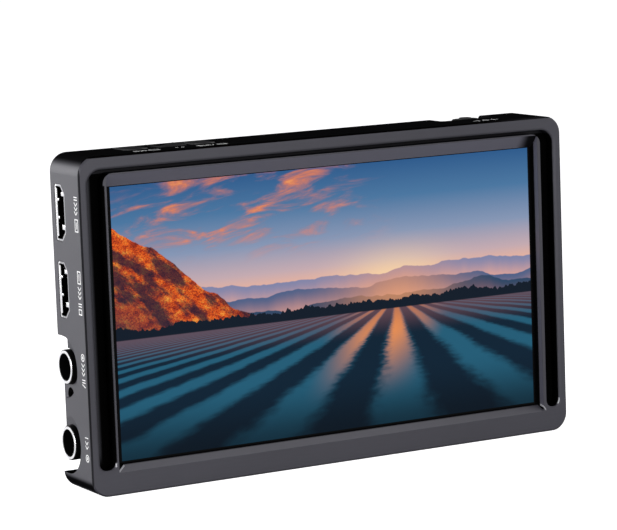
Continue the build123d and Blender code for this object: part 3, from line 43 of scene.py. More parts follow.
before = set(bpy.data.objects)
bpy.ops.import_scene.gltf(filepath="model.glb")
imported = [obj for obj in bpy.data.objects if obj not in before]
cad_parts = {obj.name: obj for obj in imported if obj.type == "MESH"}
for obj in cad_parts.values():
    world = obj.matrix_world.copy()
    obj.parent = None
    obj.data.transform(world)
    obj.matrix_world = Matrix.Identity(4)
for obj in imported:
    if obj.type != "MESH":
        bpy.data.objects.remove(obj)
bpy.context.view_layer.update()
MM = 0.001
BODY = "monitor"
# Faces of the object, in mm
FRONT_FACE, LEFT_FACE, RIGHT_FACE, TOP_FACE = -9.45, -76.25, 76.25, 92.0
BATTERY_FACE = 18.15
# The lit area under the glass, in mm
SCREEN_MIDDLE, SCREEN_HALF_WIDTH, SCREEN_HALF_HEIGHT = 46.0, 66.25, 37.25


# ---- Modelling ----
def set_mode(mode):
    """Switches between object mode and edit mode."""
    bpy.ops.object.mode_set(mode=mode)


def deselect_all():
    """Leaves nothing selected, so that the next operator acts on its own piece alone."""
    if bpy.context.object and bpy.context.object.mode == "EDIT":
        set_mode("OBJECT")
    bpy.ops.object.select_all(action="DESELECT")


def make_active(piece):
    """Selects one piece and makes it the active one."""
    deselect_all()
    piece.select_set(True)
    bpy.context.view_layer.objects.active = piece


def add_bar(centre, size):
    """A bar, with its corners in the mesh and its object at the origin. Sizes in mm."""
    deselect_all()
    bpy.ops.mesh.primitive_cube_add(size=1, location=Vector(centre) * MM)
    bar = bpy.context.object
    bar.scale = Vector(size) * MM
    bpy.ops.object.transform_apply()
    return bar


def add_round(centre, radius, depth, corners):
    """A round rod along Z. Sizes in mm."""
    deselect_all()
    bpy.ops.mesh.primitive_cylinder_add(
        vertices=corners, radius=radius * MM, depth=depth * MM, location=Vector(centre) * MM
    )
    bpy.ops.object.transform_apply()
    return bpy.context.object


def select_faces(piece, wanted):
    """Goes into edit mode with the faces selected whose normal passes the test."""
    make_active(piece)
    set_mode("EDIT")
    bpy.ops.mesh.select_all(action="DESELECT")
    set_mode("OBJECT")
    for face in piece.data.polygons:
        face.select = bool(wanted(face.normal))
    set_mode("EDIT")
    bpy.ops.mesh.select_mode(type="FACE")


def add_ring(centre, radius, width, depth, corners=40):
    """A flat ring around Z, from a disc that is inset and bored through. Sizes in mm."""
    ring = add_round(centre, radius, depth, corners)
    select_faces(ring, lambda normal: abs(normal.z) > 0.9)
    bpy.ops.mesh.inset(thickness=width * MM)
    bpy.ops.mesh.bridge_edge_loops()
    set_mode("OBJECT")
    return ring


def move_piece(piece, matrix):
    """Applies a matrix to the mesh and leaves the object at the origin."""
    make_active(piece)
    piece.matrix_world = matrix
    bpy.ops.object.transform_apply()
    return piece


def copy_at(piece, shift):
    """A copy with its own mesh, moved by a shift in mm."""
    copied = piece.copy()
    copied.data = piece.data.copy()
    bpy.context.collection.objects.link(copied)
    return move_piece(copied, Matrix.Translation(Vector(shift) * MM))


def join_pieces(name, parts):
    """Joins the parts into one object of that name, at the origin."""
    make_active(parts[0])
    for part in parts:
        part.select_set(True)
    if len(parts) > 1:
        bpy.ops.object.join()
    joined = bpy.context.object
    joined.name = joined.data.name = name
    return joined


def soften_edges(piece, width, segments=2):
    """Rounds the sharp edges. The width is in mm."""
    make_active(piece)
    bevel = piece.modifiers.new("soft_edges", "BEVEL")
    bevel.width = width * MM
    bevel.segments = segments
    bevel.limit_method = "ANGLE"
    bpy.ops.object.modifier_apply(modifier=bevel.name)
    bpy.ops.object.shade_smooth_by_angle(angle=math.radians(40))
    return piece


def point_outwards(piece):
    """Merges the doubles and turns every face outwards."""
    make_active(piece)
    set_mode("EDIT")
    bpy.ops.mesh.select_all(action="SELECT")
    bpy.ops.mesh.remove_doubles(threshold=0.002 * MM)
    bpy.ops.mesh.normals_make_consistent(inside=False)
    set_mode("OBJECT")
    return piece


def bar_row(centre, size, softness, count, pitch, segments=1):
    """A row of like bars with soft edges, from the lowest one up. Sizes in mm."""
    bar = soften_edges(add_bar(centre, size), softness, segments)
    return [bar] + [copy_at(bar, (0, 0, pitch * step)) for step in range(1, count)]


def box_in_mm(node):
    """The lowest corner, the highest corner and the centre of a CAD node, in mm."""
    low, high = (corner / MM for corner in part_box(node))
    return low, high, (low + high) / 2


def hand_over(piece, material, body=BODY):
    """Gives a new piece its material, its body and the material slot it stands for."""
    piece.data.materials.clear()
    piece.data.materials.append(material)
    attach(piece, body)


def dress(material, *nodes):
    """Puts one finish on CAD nodes."""
    for node in nodes:
        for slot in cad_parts[node].material_slots:
            slot.material = material


# ---- Shader expressions ----
def math_method(operation, swapped=False):
    """A method of Value that puts it and another value into a Math node."""

    def method(self, other):
        return self.math(operation, *((other, self) if swapped else (self, other)))

    return method


class Value:
    """A shader socket. An expression on it adds the Math nodes that the expression needs."""

    __add__ = math_method("ADD")
    __sub__ = math_method("SUBTRACT")
    __rsub__ = math_method("SUBTRACT", swapped=True)
    __mul__ = math_method("MULTIPLY")
    __truediv__ = math_method("DIVIDE")
    __rtruediv__ = math_method("DIVIDE", swapped=True)
    __pow__ = math_method("POWER")
    __gt__ = math_method("GREATER_THAN")
    __lt__ = math_method("LESS_THAN")
    at_least = math_method("MAXIMUM")

    def __init__(self, nodes, socket):
        self.nodes = nodes
        self.socket = socket

    def math(self, operation, *values, clamp=False):
        """A Math node on these values."""
        return self.nodes.add("ShaderNodeMath", dict(operation=operation, use_clamp=clamp), values)

    def __abs__(self):
        return self.math("ABSOLUTE", self)

    def held(self):
        """This value held between 0 and 1."""
        return self.math("ADD", self, 0.0, clamp=True)

    def between(self, low, high):
        """1 between low and high, and 0 elsewhere."""
        return (self > low) * (self < high)

    def ramp(self, low, high):
        """0 at low, 1 at high, and a smooth step between."""
        inputs = {"Value": self, "From Min": low, "From Max": high}
        return self.nodes.add("ShaderNodeMapRange", dict(interpolation_type="SMOOTHSTEP"), inputs)

    def colours(self, *stops):
        """A colour ramp on this value, from places and display values of 0 to 255."""
        ramp = self.nodes.add("ShaderNodeValToRGB", {}, [self])
        elements = ramp.socket.node.color_ramp.elements
        while len(elements) < len(stops):
            elements.new(1.0)
        for element, (place, *shades) in zip(elements, stops):
            element.position = place
            element.color = (*srgb(*shades), 1.0)
        return ramp


def hypotenuse(first, second):
    """The distance that two distances at right angles make."""
    return (first ** 2.0 + second ** 2.0) ** 0.5


class Nodes:
    """A node tree in the making."""

    def __init__(self, data, clear=True):
        data.use_nodes = True
        self.tree = data.node_tree
        if clear:
            self.tree.nodes.clear()

    def add(self, kind, settings, inputs=(), output=0):
        """Adds a node: its settings first, then the values or links of its sockets."""
        node = self.tree.nodes.new(kind)
        for setting, value in settings.items():
            setattr(node, setting, value)
        for key, value in inputs.items() if isinstance(inputs, dict) else enumerate(inputs):
            self.feed(node.inputs[key], value)
        return Value(self, node.outputs[output])

    def feed(self, socket, value):
        """Links a socket, or sets it."""
        if isinstance(value, Value):
            self.tree.links.new(value.socket, socket)
        elif socket.type == "RGBA" and len(value) == 3:
            socket.default_value = (*value, 1.0)
        else:
            socket.default_value = value

    def mix(self, factor, first, second):
        """A colour between two colours."""
        inputs = {0: factor, 6: first, 7: second}
        return self.add("ShaderNodeMix", dict(data_type="RGBA"), inputs, output=2)

    def ray(self, kind):
        """1 for rays of one kind, and 0 for others."""
        return self.add("ShaderNodeLightPath", {}, output=f"Is {kind} Ray")

    def shiny_ray(self):
        """1 for a reflection or a look through glass."""
        glossy = self.ray("Glossy")
        return glossy.math("MAXIMUM", glossy, self.ray("Transmission"))

    def end(self, kind, shader):
        """Adds the output node."""
        self.feed(self.tree.nodes.new(kind).inputs[0], shader)


class Finish(Nodes):
    """A material in the making, with one Principled shader."""

    def __init__(self, name, specular=0.5, **constants):
        self.material = bpy.data.materials.new(name)
        super().__init__(self.material, clear=False)
        self.shader = self.tree.nodes["Principled BSDF"]
        self.drive(Specular_IOR_Level=specular, **constants)

    def drive(self, **sockets):
        """Feeds sockets of the Principled shader, and returns the material."""
        for socket, value in sockets.items():
            self.feed(self.shader.inputs[socket.replace("_", " ")], value)
        return self.material

    def layer_painted_shade(self, mask):
        """Covers the masked part with a black that reflects nothing, as painted shade."""
        sockets = {"Base Color": (0.0012,) * 3, "Roughness": 0.9, "Specular IOR Level": 0.0}
        black = self.add("ShaderNodeBsdfPrincipled", {}, sockets)
        layers = [mask, Value(self, self.shader.outputs[0]), black]
        covered = self.add("ShaderNodeMixShader", {}, layers)
        self.feed(self.tree.nodes["Material Output"].inputs[0], covered)

    def place(self):
        """The object coordinates as a vector."""
        return self.add("ShaderNodeTexCoord", {}, output=3)

    def axes(self):
        """The object coordinates as three values, in mm."""
        split = self.tree.nodes.new("ShaderNodeSeparateXYZ")
        self.feed(split.inputs[0], self.stretched((1 / MM,) * 3))
        return [Value(self, output) for output in split.outputs]

    def vector(self, x, y):
        """A vector from two values."""
        return self.add("ShaderNodeCombineXYZ", {}, [x, y])

    def stretched(self, scale):
        """The object coordinates, scaled along each axis."""
        return self.add("ShaderNodeVectorMath", dict(operation="MULTIPLY"), [self.place(), scale])

    def noise(self, scale, detail=3.0, roughness=0.5, at=None, distortion=0.0):
        """Noise from 0 to 1 on the object coordinates, or at a vector."""
        inputs = dict(Vector=at or self.place(), Scale=scale, Detail=detail)
        inputs.update(Roughness=roughness, Distortion=distortion)
        return self.add("ShaderNodeTexNoise", {}, inputs)

    def cells(self, scale, at=None, output=0, randomness=1.0, **settings):
        """A pattern of cells: by default, the distance from each cell's middle."""
        inputs = dict(Vector=at or self.place(), Scale=scale, Randomness=randomness)
        return self.add("ShaderNodeTexVoronoi", settings, inputs, output)

    def skyline(self, along, scale, detail, seed):
        """Noise from -1 to 1 along one value."""
        inputs = dict(W=along * scale + seed, Scale=1.0, Detail=detail, Roughness=0.5)
        noise = self.add("ShaderNodeTexNoise", dict(noise_dimensions="1D"), inputs)
        return noise * 2.0 - 1.0

    def brightness(self, colour):
        """A colour's brightness as a value."""
        return self.add("ShaderNodeRGBToBW", {}, [colour])

    def bump(self, height, distance, strength):
        """A normal from a height. The distance is in mm."""
        inputs = dict(Strength=strength, Distance=distance * MM, Height=height)
        return self.add("ShaderNodeBump", {}, inputs)


def srgb(*shades):
    """A linear colour from display values of 0 to 255."""
    return tuple(c / 3294.6 if c <= 10.3 else ((c / 255 + 0.055) / 1.055) ** 2.4 for c in shades)


def toned(colour, share):
    """A colour times a number, darker below 1 and lighter above."""
    return tuple(share * c for c in colour)


# ---- Sizes and colours that a user may change ----
LENGTH = dict(unit="LENGTH", precision=5)


def a_number(name, description, default, **settings):
    """A number that a user may change."""
    return FloatProperty(name=name, description=description, default=default, **settings)


def a_colour(name, description, default):
    """A colour that a user may change."""
    return FloatVectorProperty(name=name, description=description, default=default, subtype="COLOR")


class MonitorLook(bpy.types.PropertyGroup):
    housing_colour: a_colour(
        "Housing colour", "Colour of the blasted aluminium housing", (0.0185, 0.018, 0.024)
    )
    housing_roughness: a_number(
        "Housing roughness", "Roughness of the blasted aluminium", 0.42, min=0.0, max=1.0
    )
    grain: a_number("Blast grain", "Size of the grain on the housing", 0.16 * MM, **LENGTH)
    plastic_colour: a_colour(
        "Plastic colour", "Colour of the rear cover and the battery plate", (0.026, 0.026, 0.029)
    )


class PictureLook(bpy.types.PropertyGroup):
    brightness: a_number("Brightness", "Strength of the picture's light", 1.0, min=0.0)
    glow_place: a_number(
        "Glow place", "Distance of the low sun from the picture's middle", 21 * MM, **LENGTH
    )
    horizon: a_number(
        "Horizon", "Height of the horizon over the picture's middle", 0.5 * MM, **LENGTH
    )


class SymbolLook(bpy.types.PropertyGroup):
    colour: a_colour("Print colour", "Colour of the printed symbols", (0.8, 0.8, 0.8))
    stroke: a_number("Stroke", "Width of a symbol's strokes", 0.27 * MM, **LENGTH)
    thickness: a_number(
        "Print thickness", "How far the print stands over the surface", 0.03 * MM, **LENGTH
    )


class ThreadLook(bpy.types.PropertyGroup):
    pitch: a_number("Pitch", "Pitch of the tripod threads", 1.27 * MM, **LENGTH)
    turns: IntProperty(name="Turns", description="Turns of each thread", default=4, min=1)


class StudioLook(bpy.types.PropertyGroup):
    key_power: a_number("Key light", "Watts of the large soft light on the left", 16.0)
    fill_power: a_number("Fill light", "Watts of the soft light in front", 9.0)
    top_power: a_number("Top light", "Watts of the small soft light overhead", 2.6)
    back_power: a_number("Back light", "Watts of the small soft light behind", 2.0)
    focal_length: a_number("Focal length", "Focal length of the camera, in millimetres", 170.7)


# ---- Finishes ----
def worn(finish, colour, share, scale=90.0):
    """A colour that varies softly over the surface."""
    cloud = finish.noise(scale, detail=4.0).ramp(0.3, 0.7)
    return finish.mix(cloud, toned(colour, 1 - share), toned(colour, 1 + share))


def moulded_plastic(name, colour, roughness, grain=0.25):
    """Moulded plastic with a fine eroded texture."""
    finish = Finish(name, 0.35)
    texture = finish.noise(0.6 / (grain * MM), detail=2.0)
    speckle = finish.noise(400.0, detail=5.0)
    return finish.drive(
        Base_Color=worn(finish, colour, 0.15),
        Roughness=speckle * 0.16 + (roughness - 0.08),
        Normal=finish.bump(texture, 0.02, 0.6),
    )


def polished_metal(name, colour, roughness, brushed=(60.0, 60.0, 60.0)):
    """Plated or brushed metal, with fine lines along the axis of the smallest scale."""
    finish = Finish(name, Metallic=1.0)
    lines = finish.noise(60.0, detail=6.0, roughness=0.6, at=finish.stretched(brushed))
    smudge = finish.noise(140.0, detail=3.0)
    return finish.drive(
        Base_Color=finish.mix(smudge, toned(colour, 0.82), colour),
        Roughness=lines * 0.18 + (roughness - 0.09),
        Normal=finish.bump(lines, 0.004, 0.5),
    )


# The hood channel and the bevels around the glass, in mm
RIDGE_CENTRE, LIP_CENTRE = (66.4, 84.4), (69.6, 84.15)
RIDGE_WALL, CHANNEL_MIDDLE, LIP_EDGE = 2.72, 3.2, 4.8
CHANNEL_SIDE, CHANNEL_BOTTOM, CHANNEL_TOP = 74.6, 7.0, 89.4
BEVEL_EDGE, BEVEL_FOOT = 67.6, 68.6
LEFT_MITRE, RIGHT_MITRE = 0.2, 0.28


def corner_reach(centre, side, z):
    """How far a point lies from the centre of an upper corner's arc, or from the lines to it."""
    return hypotenuse((side - centre[0]).at_least(0.0), (z - centre[1]).at_least(0.0))


def channel_shade(x, side, depth, z):
    """Painted shade in the hood channel, and on the lip and the ridge where they roll into it."""
    reach = corner_reach(RIDGE_CENTRE, side, z)
    inside = (side < CHANNEL_SIDE) * z.between(CHANNEL_BOTTOM, CHANNEL_TOP) * (depth < 4.0)
    ridge_side = depth.ramp(0.0, 0.12) * (reach < CHANNEL_MIDDLE)
    outer_side = depth.ramp(0.2, 0.7) * (reach > CHANNEL_MIDDLE)
    walls = (reach > RIDGE_WALL) * inside * (ridge_side + outer_side).held()
    # the painted shade eases on the left floor and the upper wall: a little painted light there
    left_floor = (1 - x.ramp(-72.7, -71.2)) * (z < 87.0) * z.ramp(7.5, 12.0)
    walls = walls * (1 - (z > 87.0) * 0.2 - left_floor * 0.7)
    # painted shade: the lip's left and upper rims darken towards the channel
    rim = corner_reach(LIP_CENTRE, side, z) - LIP_EDGE
    away = (1 - x.ramp(40.0, 72.0)) * (reach > CHANNEL_MIDDLE) * (depth < 1.0)
    roll = (1 - rim.ramp(-1.5, 0.45)) * z.ramp(6.0, 9.0) * (z.ramp(80.0, 88.0) * 0.4 + 0.35)
    lip = away * (roll + z.ramp(8.0, 20.0) * 0.1)
    # painted shade on the ridge's left edge where it rolls into the channel
    ridge_roll = (0 - x).ramp(68.6, 68.95) * (reach < 3.0) * (depth < 0.2) * z.between(9.2, 84.0)
    return walls + lip + ridge_roll


def bevel_masks(x, side, depth, z):
    """Painted light and highlights on the glass's bevels, and their dark feet and painted shade."""
    in_bevel = depth.between(0.05, 2.5)
    side_foot = side.between(BEVEL_EDGE, BEVEL_FOOT) * depth.ramp(1.2, 1.6)
    bottom_foot = (side < BEVEL_FOOT) * z.between(6.0, 8.6) * depth.ramp(1.6, 1.95)
    top_mitre = z - 83.5 - (side - 67.7) * 6.8
    top_bevel = (top_mitre > 0.0) * (side < 68.3) * z.between(83.0, 87.0) * in_bevel
    side_bevel = (top_mitre < 0.0) * side.between(BEVEL_EDGE, 68.3) * (z > 8.0) * in_bevel
    # painted highlights along the lower mitres and on the rims at the channel's lower ends
    left_mitre = z - 6.35 - (x + 68.3) * 0.61
    right_mitre = z - 8.15 + (x - 67.75) * 1.32
    low_bevel = z.between(6.1, 8.4) * (depth < 2.4)
    left_bevel = x.between(-69.0, -66.0) * in_bevel
    left_line = (abs(left_mitre) < LEFT_MITRE) * left_bevel
    right_line = (abs(right_mitre) < RIGHT_MITRE) * x.between(BEVEL_EDGE, 69.0)
    left_end = x.between(-69.3, -68.85) * z.between(7.9, 8.9) * (depth < 0.3)
    turn = hypotenuse(x - 71.6, z - 9.2)
    right_end = turn.between(1.95, 2.3) * (x > 73.1) * z.between(7.8, 9.5) * (depth < 0.9)
    lines = (left_line + right_line) * low_bevel
    bright = (lines * 0.5 + left_end + right_end * 0.75).held()
    # painted shade past the mitres and at the upper bevel's right end
    under_mitre = right_mitre.between(-0.95, -RIGHT_MITRE) * (x > 67.3) * in_bevel
    shade = ((left_mitre > LEFT_MITRE) * left_bevel + under_mitre) * low_bevel
    shade = (shade + top_bevel * x.ramp(62.0, 66.0)) * 0.97
    return (top_bevel + side_bevel).held(), bright, (side_foot + bottom_foot) * in_bevel + shade


def recess_shade(x, y, z):
    """The shade in the finger recesses over the two lower sockets on the left."""
    shade = 0.0
    for height in (13.15, 34.1):
        spread = hypotenuse(y - 5.65, z - height)
        shade = (1 - spread.ramp(6.6, 7.4)) * (z > height) * 0.17 + shade
    return shade * (x < -74.0)


def housing_finish(look):
    """Blasted, black anodised aluminium, with painted shade and painted light and highlights."""
    finish = Finish("blasted_aluminium", Specular_Tint=(0.93, 0.92, 1.0, 1.0))
    x, y, z = finish.axes()
    side = abs(x)
    depth = y - FRONT_FACE
    behind_edge = depth > 0.42
    lighter, bright, bevel_dark_and_shade = bevel_masks(x, side, depth, z)
    # painted shade on the front's side and top edges, in the screw hole, on the lower left bay's
    # lip, on the top and underneath
    edge_shade = ((side > 75.8) * 0.75 + (z > 91.55) * 0.93).held() * (depth < 0.42)
    in_hole = (abs(y - 5.35) < 2.1) * (abs(z - 26.4) < 2.1)
    screw_well_shade = in_hole * x.between(-74.7, -72.0)
    bay_lip_shade = x.between(-76.15, -66.0) * z.between(4.2, 5.0) * (depth > 8.0)
    top = z.ramp(89.0, 91.0) * 0.95
    underside_shade = (1 - z.ramp(3.3, 4.8)) * (z.ramp(1.4, 2.4) * 0.4 + 0.55)
    # all the painted shade, with the dark feet of the bevels around the glass
    black = channel_shade(x, side, depth, z) + bevel_dark_and_shade + edge_shade + screw_well_shade + bay_lip_shade
    black = black + (top + underside_shade) * behind_edge + recess_shade(x, y, z)

    grain = finish.noise(0.6 / look.grain, detail=2.0, roughness=0.6)
    streaks = finish.noise(30.0, detail=5.0, at=finish.stretched((4.0, 60.0, 60.0)))
    colour = worn(finish, tuple(look.housing_colour), 0.06, 50.0)
    streak_colour = toned(look.housing_colour, 1.3)
    colour = finish.mix(streaks.ramp(0.35, 0.75) * 0.35, colour, streak_colour)
    # painted light: the bevels around the glass are lighter
    colour = finish.mix(lighter, colour, toned(look.housing_colour, 2.8))
    # painted highlights along the lower mitres and at the channel's lower ends
    finish.drive(
        Base_Color=finish.mix(bright, colour, (0.5, 0.5, 0.53)),
        Roughness=grain * 0.1 + (look.housing_roughness - 0.05),
        Normal=finish.bump(grain, 0.012, 0.5),
    )
    finish.layer_painted_shade(black.held())
    return finish.material


def plated_socket_finish():
    """A plated socket shell: bright at its mouth, with painted shade inside and on most of its rim.
    """
    finish = Finish("plated_socket_shell", Metallic=1.0)
    x, y, z = finish.axes()
    # painted shade: near black inside, past the mouth
    inside = (RIGHT_FACE - 0.1 - abs(x)).ramp(0.05, 0.3)
    lines = finish.noise(60.0, detail=4.0, at=finish.stretched((20.0, 90.0, 90.0)))
    # painted shade: the mouth's rim is darker except along the rear wall
    rim = finish.mix(y.ramp(5.0, 5.9), (0.4, 0.4, 0.42), (0.88, 0.88, 0.9))
    return finish.drive(
        Base_Color=finish.mix(inside, rim, (0.006, 0.006, 0.0065)),
        Roughness=lines * 0.1 + 0.16,
        Normal=finish.bump(lines, 0.004, 0.4),
    )


def blackened_screw_shade_finish():
    """A blackened screw in a deep hole, matt and slightly oily, painted near black as its hole's
    shade.
    """
    finish = Finish("blackened_screw_painted_shade", 0.0)
    skin = finish.noise(900.0, detail=4.0)
    # painted shade: near black, without reflection
    return finish.drive(
        Base_Color=finish.mix(skin, (0.0008, 0.0008, 0.0009), (0.002, 0.002, 0.0021)),
        Roughness=skin * 0.2 + 0.5,
        Normal=finish.bump(skin, 0.01, 0.5),
    )


def coaxial_socket_finish():
    """A black coated socket barrel, painted near black as shade, with a bright turned ring at its
    mouth.
    """
    finish = Finish("coaxial_barrel", 0.06)
    x, y, z = finish.axes()
    ring = x < -76.3
    turned = finish.noise(500.0, detail=3.0)
    # painted shade: the barrel near black, with hardly any reflection
    return finish.drive(
        Base_Color=finish.mix(ring, (0.002, 0.002, 0.0022), (0.82, 0.82, 0.84)),
        Metallic=ring,
        Roughness=0.42 - ring * 0.2 + turned * 0.08,
        Normal=finish.bump(turned, 0.004, 0.4),
    )


def picture_finish(look):
    """Cover glass over a lit picture: a low sun over misty hills and ploughed fields."""
    finish = Finish("lit_cover_glass", 0.04, Roughness=0.08, IOR=1.5)
    finish.drive(Emission_Strength=look.brightness)
    x, y, z = finish.axes()
    half = SCREEN_HALF_HEIGHT
    across = x / half
    sun = look.glow_place / MM / half
    horizon = look.horizon / MM / half
    up = (z - SCREEN_MIDDLE) / half
    sky_up = up - horizon
    from_sun = across - sun
    reach = (from_sun * from_sun * 0.5 + sky_up * sky_up * 1.6) ** 0.5

    low_sky = (0.0, 247, 178, 120), (0.10, 240, 180, 150), (0.24, 196, 170, 176)
    high_sky = (0.45, 134, 150, 180), (0.72, 74, 118, 160), (1.0, 42, 88, 138)
    sky = sky_up.colours(*low_sky, *high_sky)
    glow = (1 - reach.ramp(0.0, 0.75)) ** 2.0
    sky = finish.mix(glow * 0.85, sky, srgb(255, 224, 170))
    sky = finish.mix(1 - reach.ramp(0.02, 0.13), sky, (1.0, 0.96, 0.86))

    # streaks of cloud, lit from below
    band = finish.vector(across * 1.1 + sky_up * 0.5, sky_up * 5.0 - across * 0.7)
    cloud = finish.noise(1.7, detail=7.0, roughness=0.6, at=band, distortion=0.6)
    where = (1 - abs(across + 0.75).ramp(0.5, 1.4)) * sky_up.ramp(0.3, 0.6)
    lit = cloud.colours(
        (0.40, 96, 104, 140),
        (0.52, 176, 116, 110),
        (0.64, 236, 130, 70),
        (0.80, 255, 186, 110),
    )
    sky = finish.mix((cloud.ramp(0.44, 0.72) * where * 0.92).held(), sky, lit)

    # hills, from the furthest to the nearest
    hills = [
        (0.17, 0.10, 1.3, 3.0, (128, 132, 168), (232, 170, 150)),
        (0.08, 0.13, 1.0, 11.0, (78, 96, 134), (206, 150, 140)),
        (-0.02, 0.12, 1.2, 23.0, (44, 70, 100), (150, 108, 110)),
    ]
    scene = sky
    for base, rise, scale, seed, crest, mist in hills:
        edge = finish.skyline(across, scale, 5.0, seed) * rise + (base + horizon)
        below = edge - up
        shade = finish.mix(below.ramp(0.0, 0.22), srgb(*crest), srgb(*mist))
        shade = finish.mix(glow * 0.5, shade, srgb(255, 170, 100))
        scene = finish.mix(below.ramp(0.0, 0.008), scene, shade)

    # a wooded slope in the last light, rising to the left
    slope = (0.0 - across - 0.5).ramp(-0.1, 1.5) * 0.85
    slope = slope + finish.skyline(across, 4.0, 6.0, 40.0) * 0.05
    below = slope + (horizon - 0.12) - up
    spread = finish.vector(across * 1.15 + up * 0.2, up * 1.9)
    gap = finish.cells(76.0, spread, voronoi_dimensions="2D")
    tint = finish.cells(76.0, spread, output=1, voronoi_dimensions="2D")
    tone = finish.noise(9.0, detail=7.0, roughness=0.65, at=spread) * 0.95
    tone = tone + finish.brightness(tint) * 0.2
    wood = tone.colours(
        (0.30, 70, 26, 24),
        (0.46, 176, 54, 22),
        (0.60, 238, 100, 32),
        (0.78, 255, 168, 66),
    )
    wood = finish.mix(gap.ramp(0.25, 0.9) * 0.6, wood, srgb(40, 18, 28))
    slant = finish.vector(across * 1.3 + up * 1.1, up * 0.9)
    folds = finish.noise(2.6, detail=6.0, roughness=0.6, at=slant)
    wood = finish.mix(folds.ramp(0.46, 0.56) * 0.88, wood, srgb(20, 26, 46))
    wood = finish.mix(below.ramp(0.2, 0.8) * 0.75, wood, srgb(20, 38, 56))
    scene = finish.mix(below.ramp(0.0, 0.01), scene, wood)

    # ploughed fields that run to the foot of the glow
    ground = horizon - 0.10 - up
    far = 1 / (ground + 0.05).at_least(0.02)
    wander = finish.noise(3.0, at=finish.vector(across, up)) * 1.6
    clods = finish.noise(30.0, detail=5.0, at=finish.vector(from_sun * far * 0.2, far * 0.35))
    row = from_sun * far * 5.0 + wander + clods * 1.1
    ridge = row.math("SINE", row)
    field = finish.mix(ridge.ramp(-0.6, 0.8), srgb(10, 34, 52), srgb(34, 92, 118))
    warmth = (1 - abs(from_sun + ground * 0.5).ramp(0.0, 0.55)) * (1 - ground.ramp(0.05, 0.75))
    field = finish.mix(warmth * ridge.ramp(-0.2, 0.9), field, srgb(250, 150, 74))
    field = finish.mix((1 - ground.ramp(0.0, 0.25)) * 0.6, field, srgb(120, 84, 92))
    field = finish.mix(ground.ramp(0.45, 0.95) * 0.8, field, srgb(4, 14, 24))
    edge = ground + finish.skyline(across, 2.0, 4.0, 70.0) * 0.02
    scene = finish.mix(edge.ramp(0.0, 0.008), scene, field)

    # a line of trees on the near ridge
    crown = finish.skyline(across, 26.0, 3.0, 90.0) * 0.03
    crown = crown + finish.skyline(across, 3.0, 2.0, 95.0) * 0.04 + (horizon - 0.055)
    trees = (crown - up).ramp(0.0, 0.006) * (1 - (ground - 0.03).ramp(0.0, 0.01))
    scene = finish.mix(trees.held(), scene, srgb(14, 26, 40))

    lit_area = (abs(x) < SCREEN_HALF_WIDTH) * (abs(z - SCREEN_MIDDLE) < SCREEN_HALF_HEIGHT)
    lit_area = lit_area * (y < -7.1)
    return finish.drive(
        Base_Color=(0.001, 0.001, 0.0012),
        Emission_Color=finish.mix(lit_area, (0.0, 0.0, 0.0), scene),
    )


def dress_rows(make, *rows):
    """Dresses CAD nodes: each row has the finish's settings and then its nodes."""
    for *settings, nodes in rows:
        dress(make(*settings), *nodes.split())


class MONITOR_OT_dress_housing(bpy.types.Operator):
    """Puts the blasted, moulded and key finishes on the outer pieces"""

    bl_idname = "monitor.dress_housing"
    bl_label = "Housing and covers"

    def execute(self, context):
        look = context.scene.monitor_look
        dress(housing_finish(look), "housing")
        keys = "input_key menu_key level_rocker battery_latch"
        dress_rows(
            moulded_plastic,
            ("cover_plastic", tuple(look.plastic_colour), 0.52, 0.25, "rear_cover battery_plate"),
            ("key_plastic", (0.012, 0.012, 0.013), 0.38, 0.15, keys),
            # a darker copy of the key plastic on the power key, as painted shade
            ("power_key_plastic", (0.003, 0.003, 0.0035), 0.75, 0.15, "power_key"),
        )
        black_screw = polished_metal("black_screw", (0.03, 0.03, 0.033), 0.3)
        dress(black_screw, "cover_screws", "plate_screws")
        dress(blackened_screw_shade_finish(), "bracket_screw")
        return {"FINISHED"}


class MONITOR_OT_paint_picture(bpy.types.Operator):
    """Lights the picture under the cover glass"""

    bl_idname = "monitor.paint_picture"
    bl_label = "Picture"

    def execute(self, context):
        dress(picture_finish(context.scene.picture_look), "screen_glass")
        return {"FINISHED"}


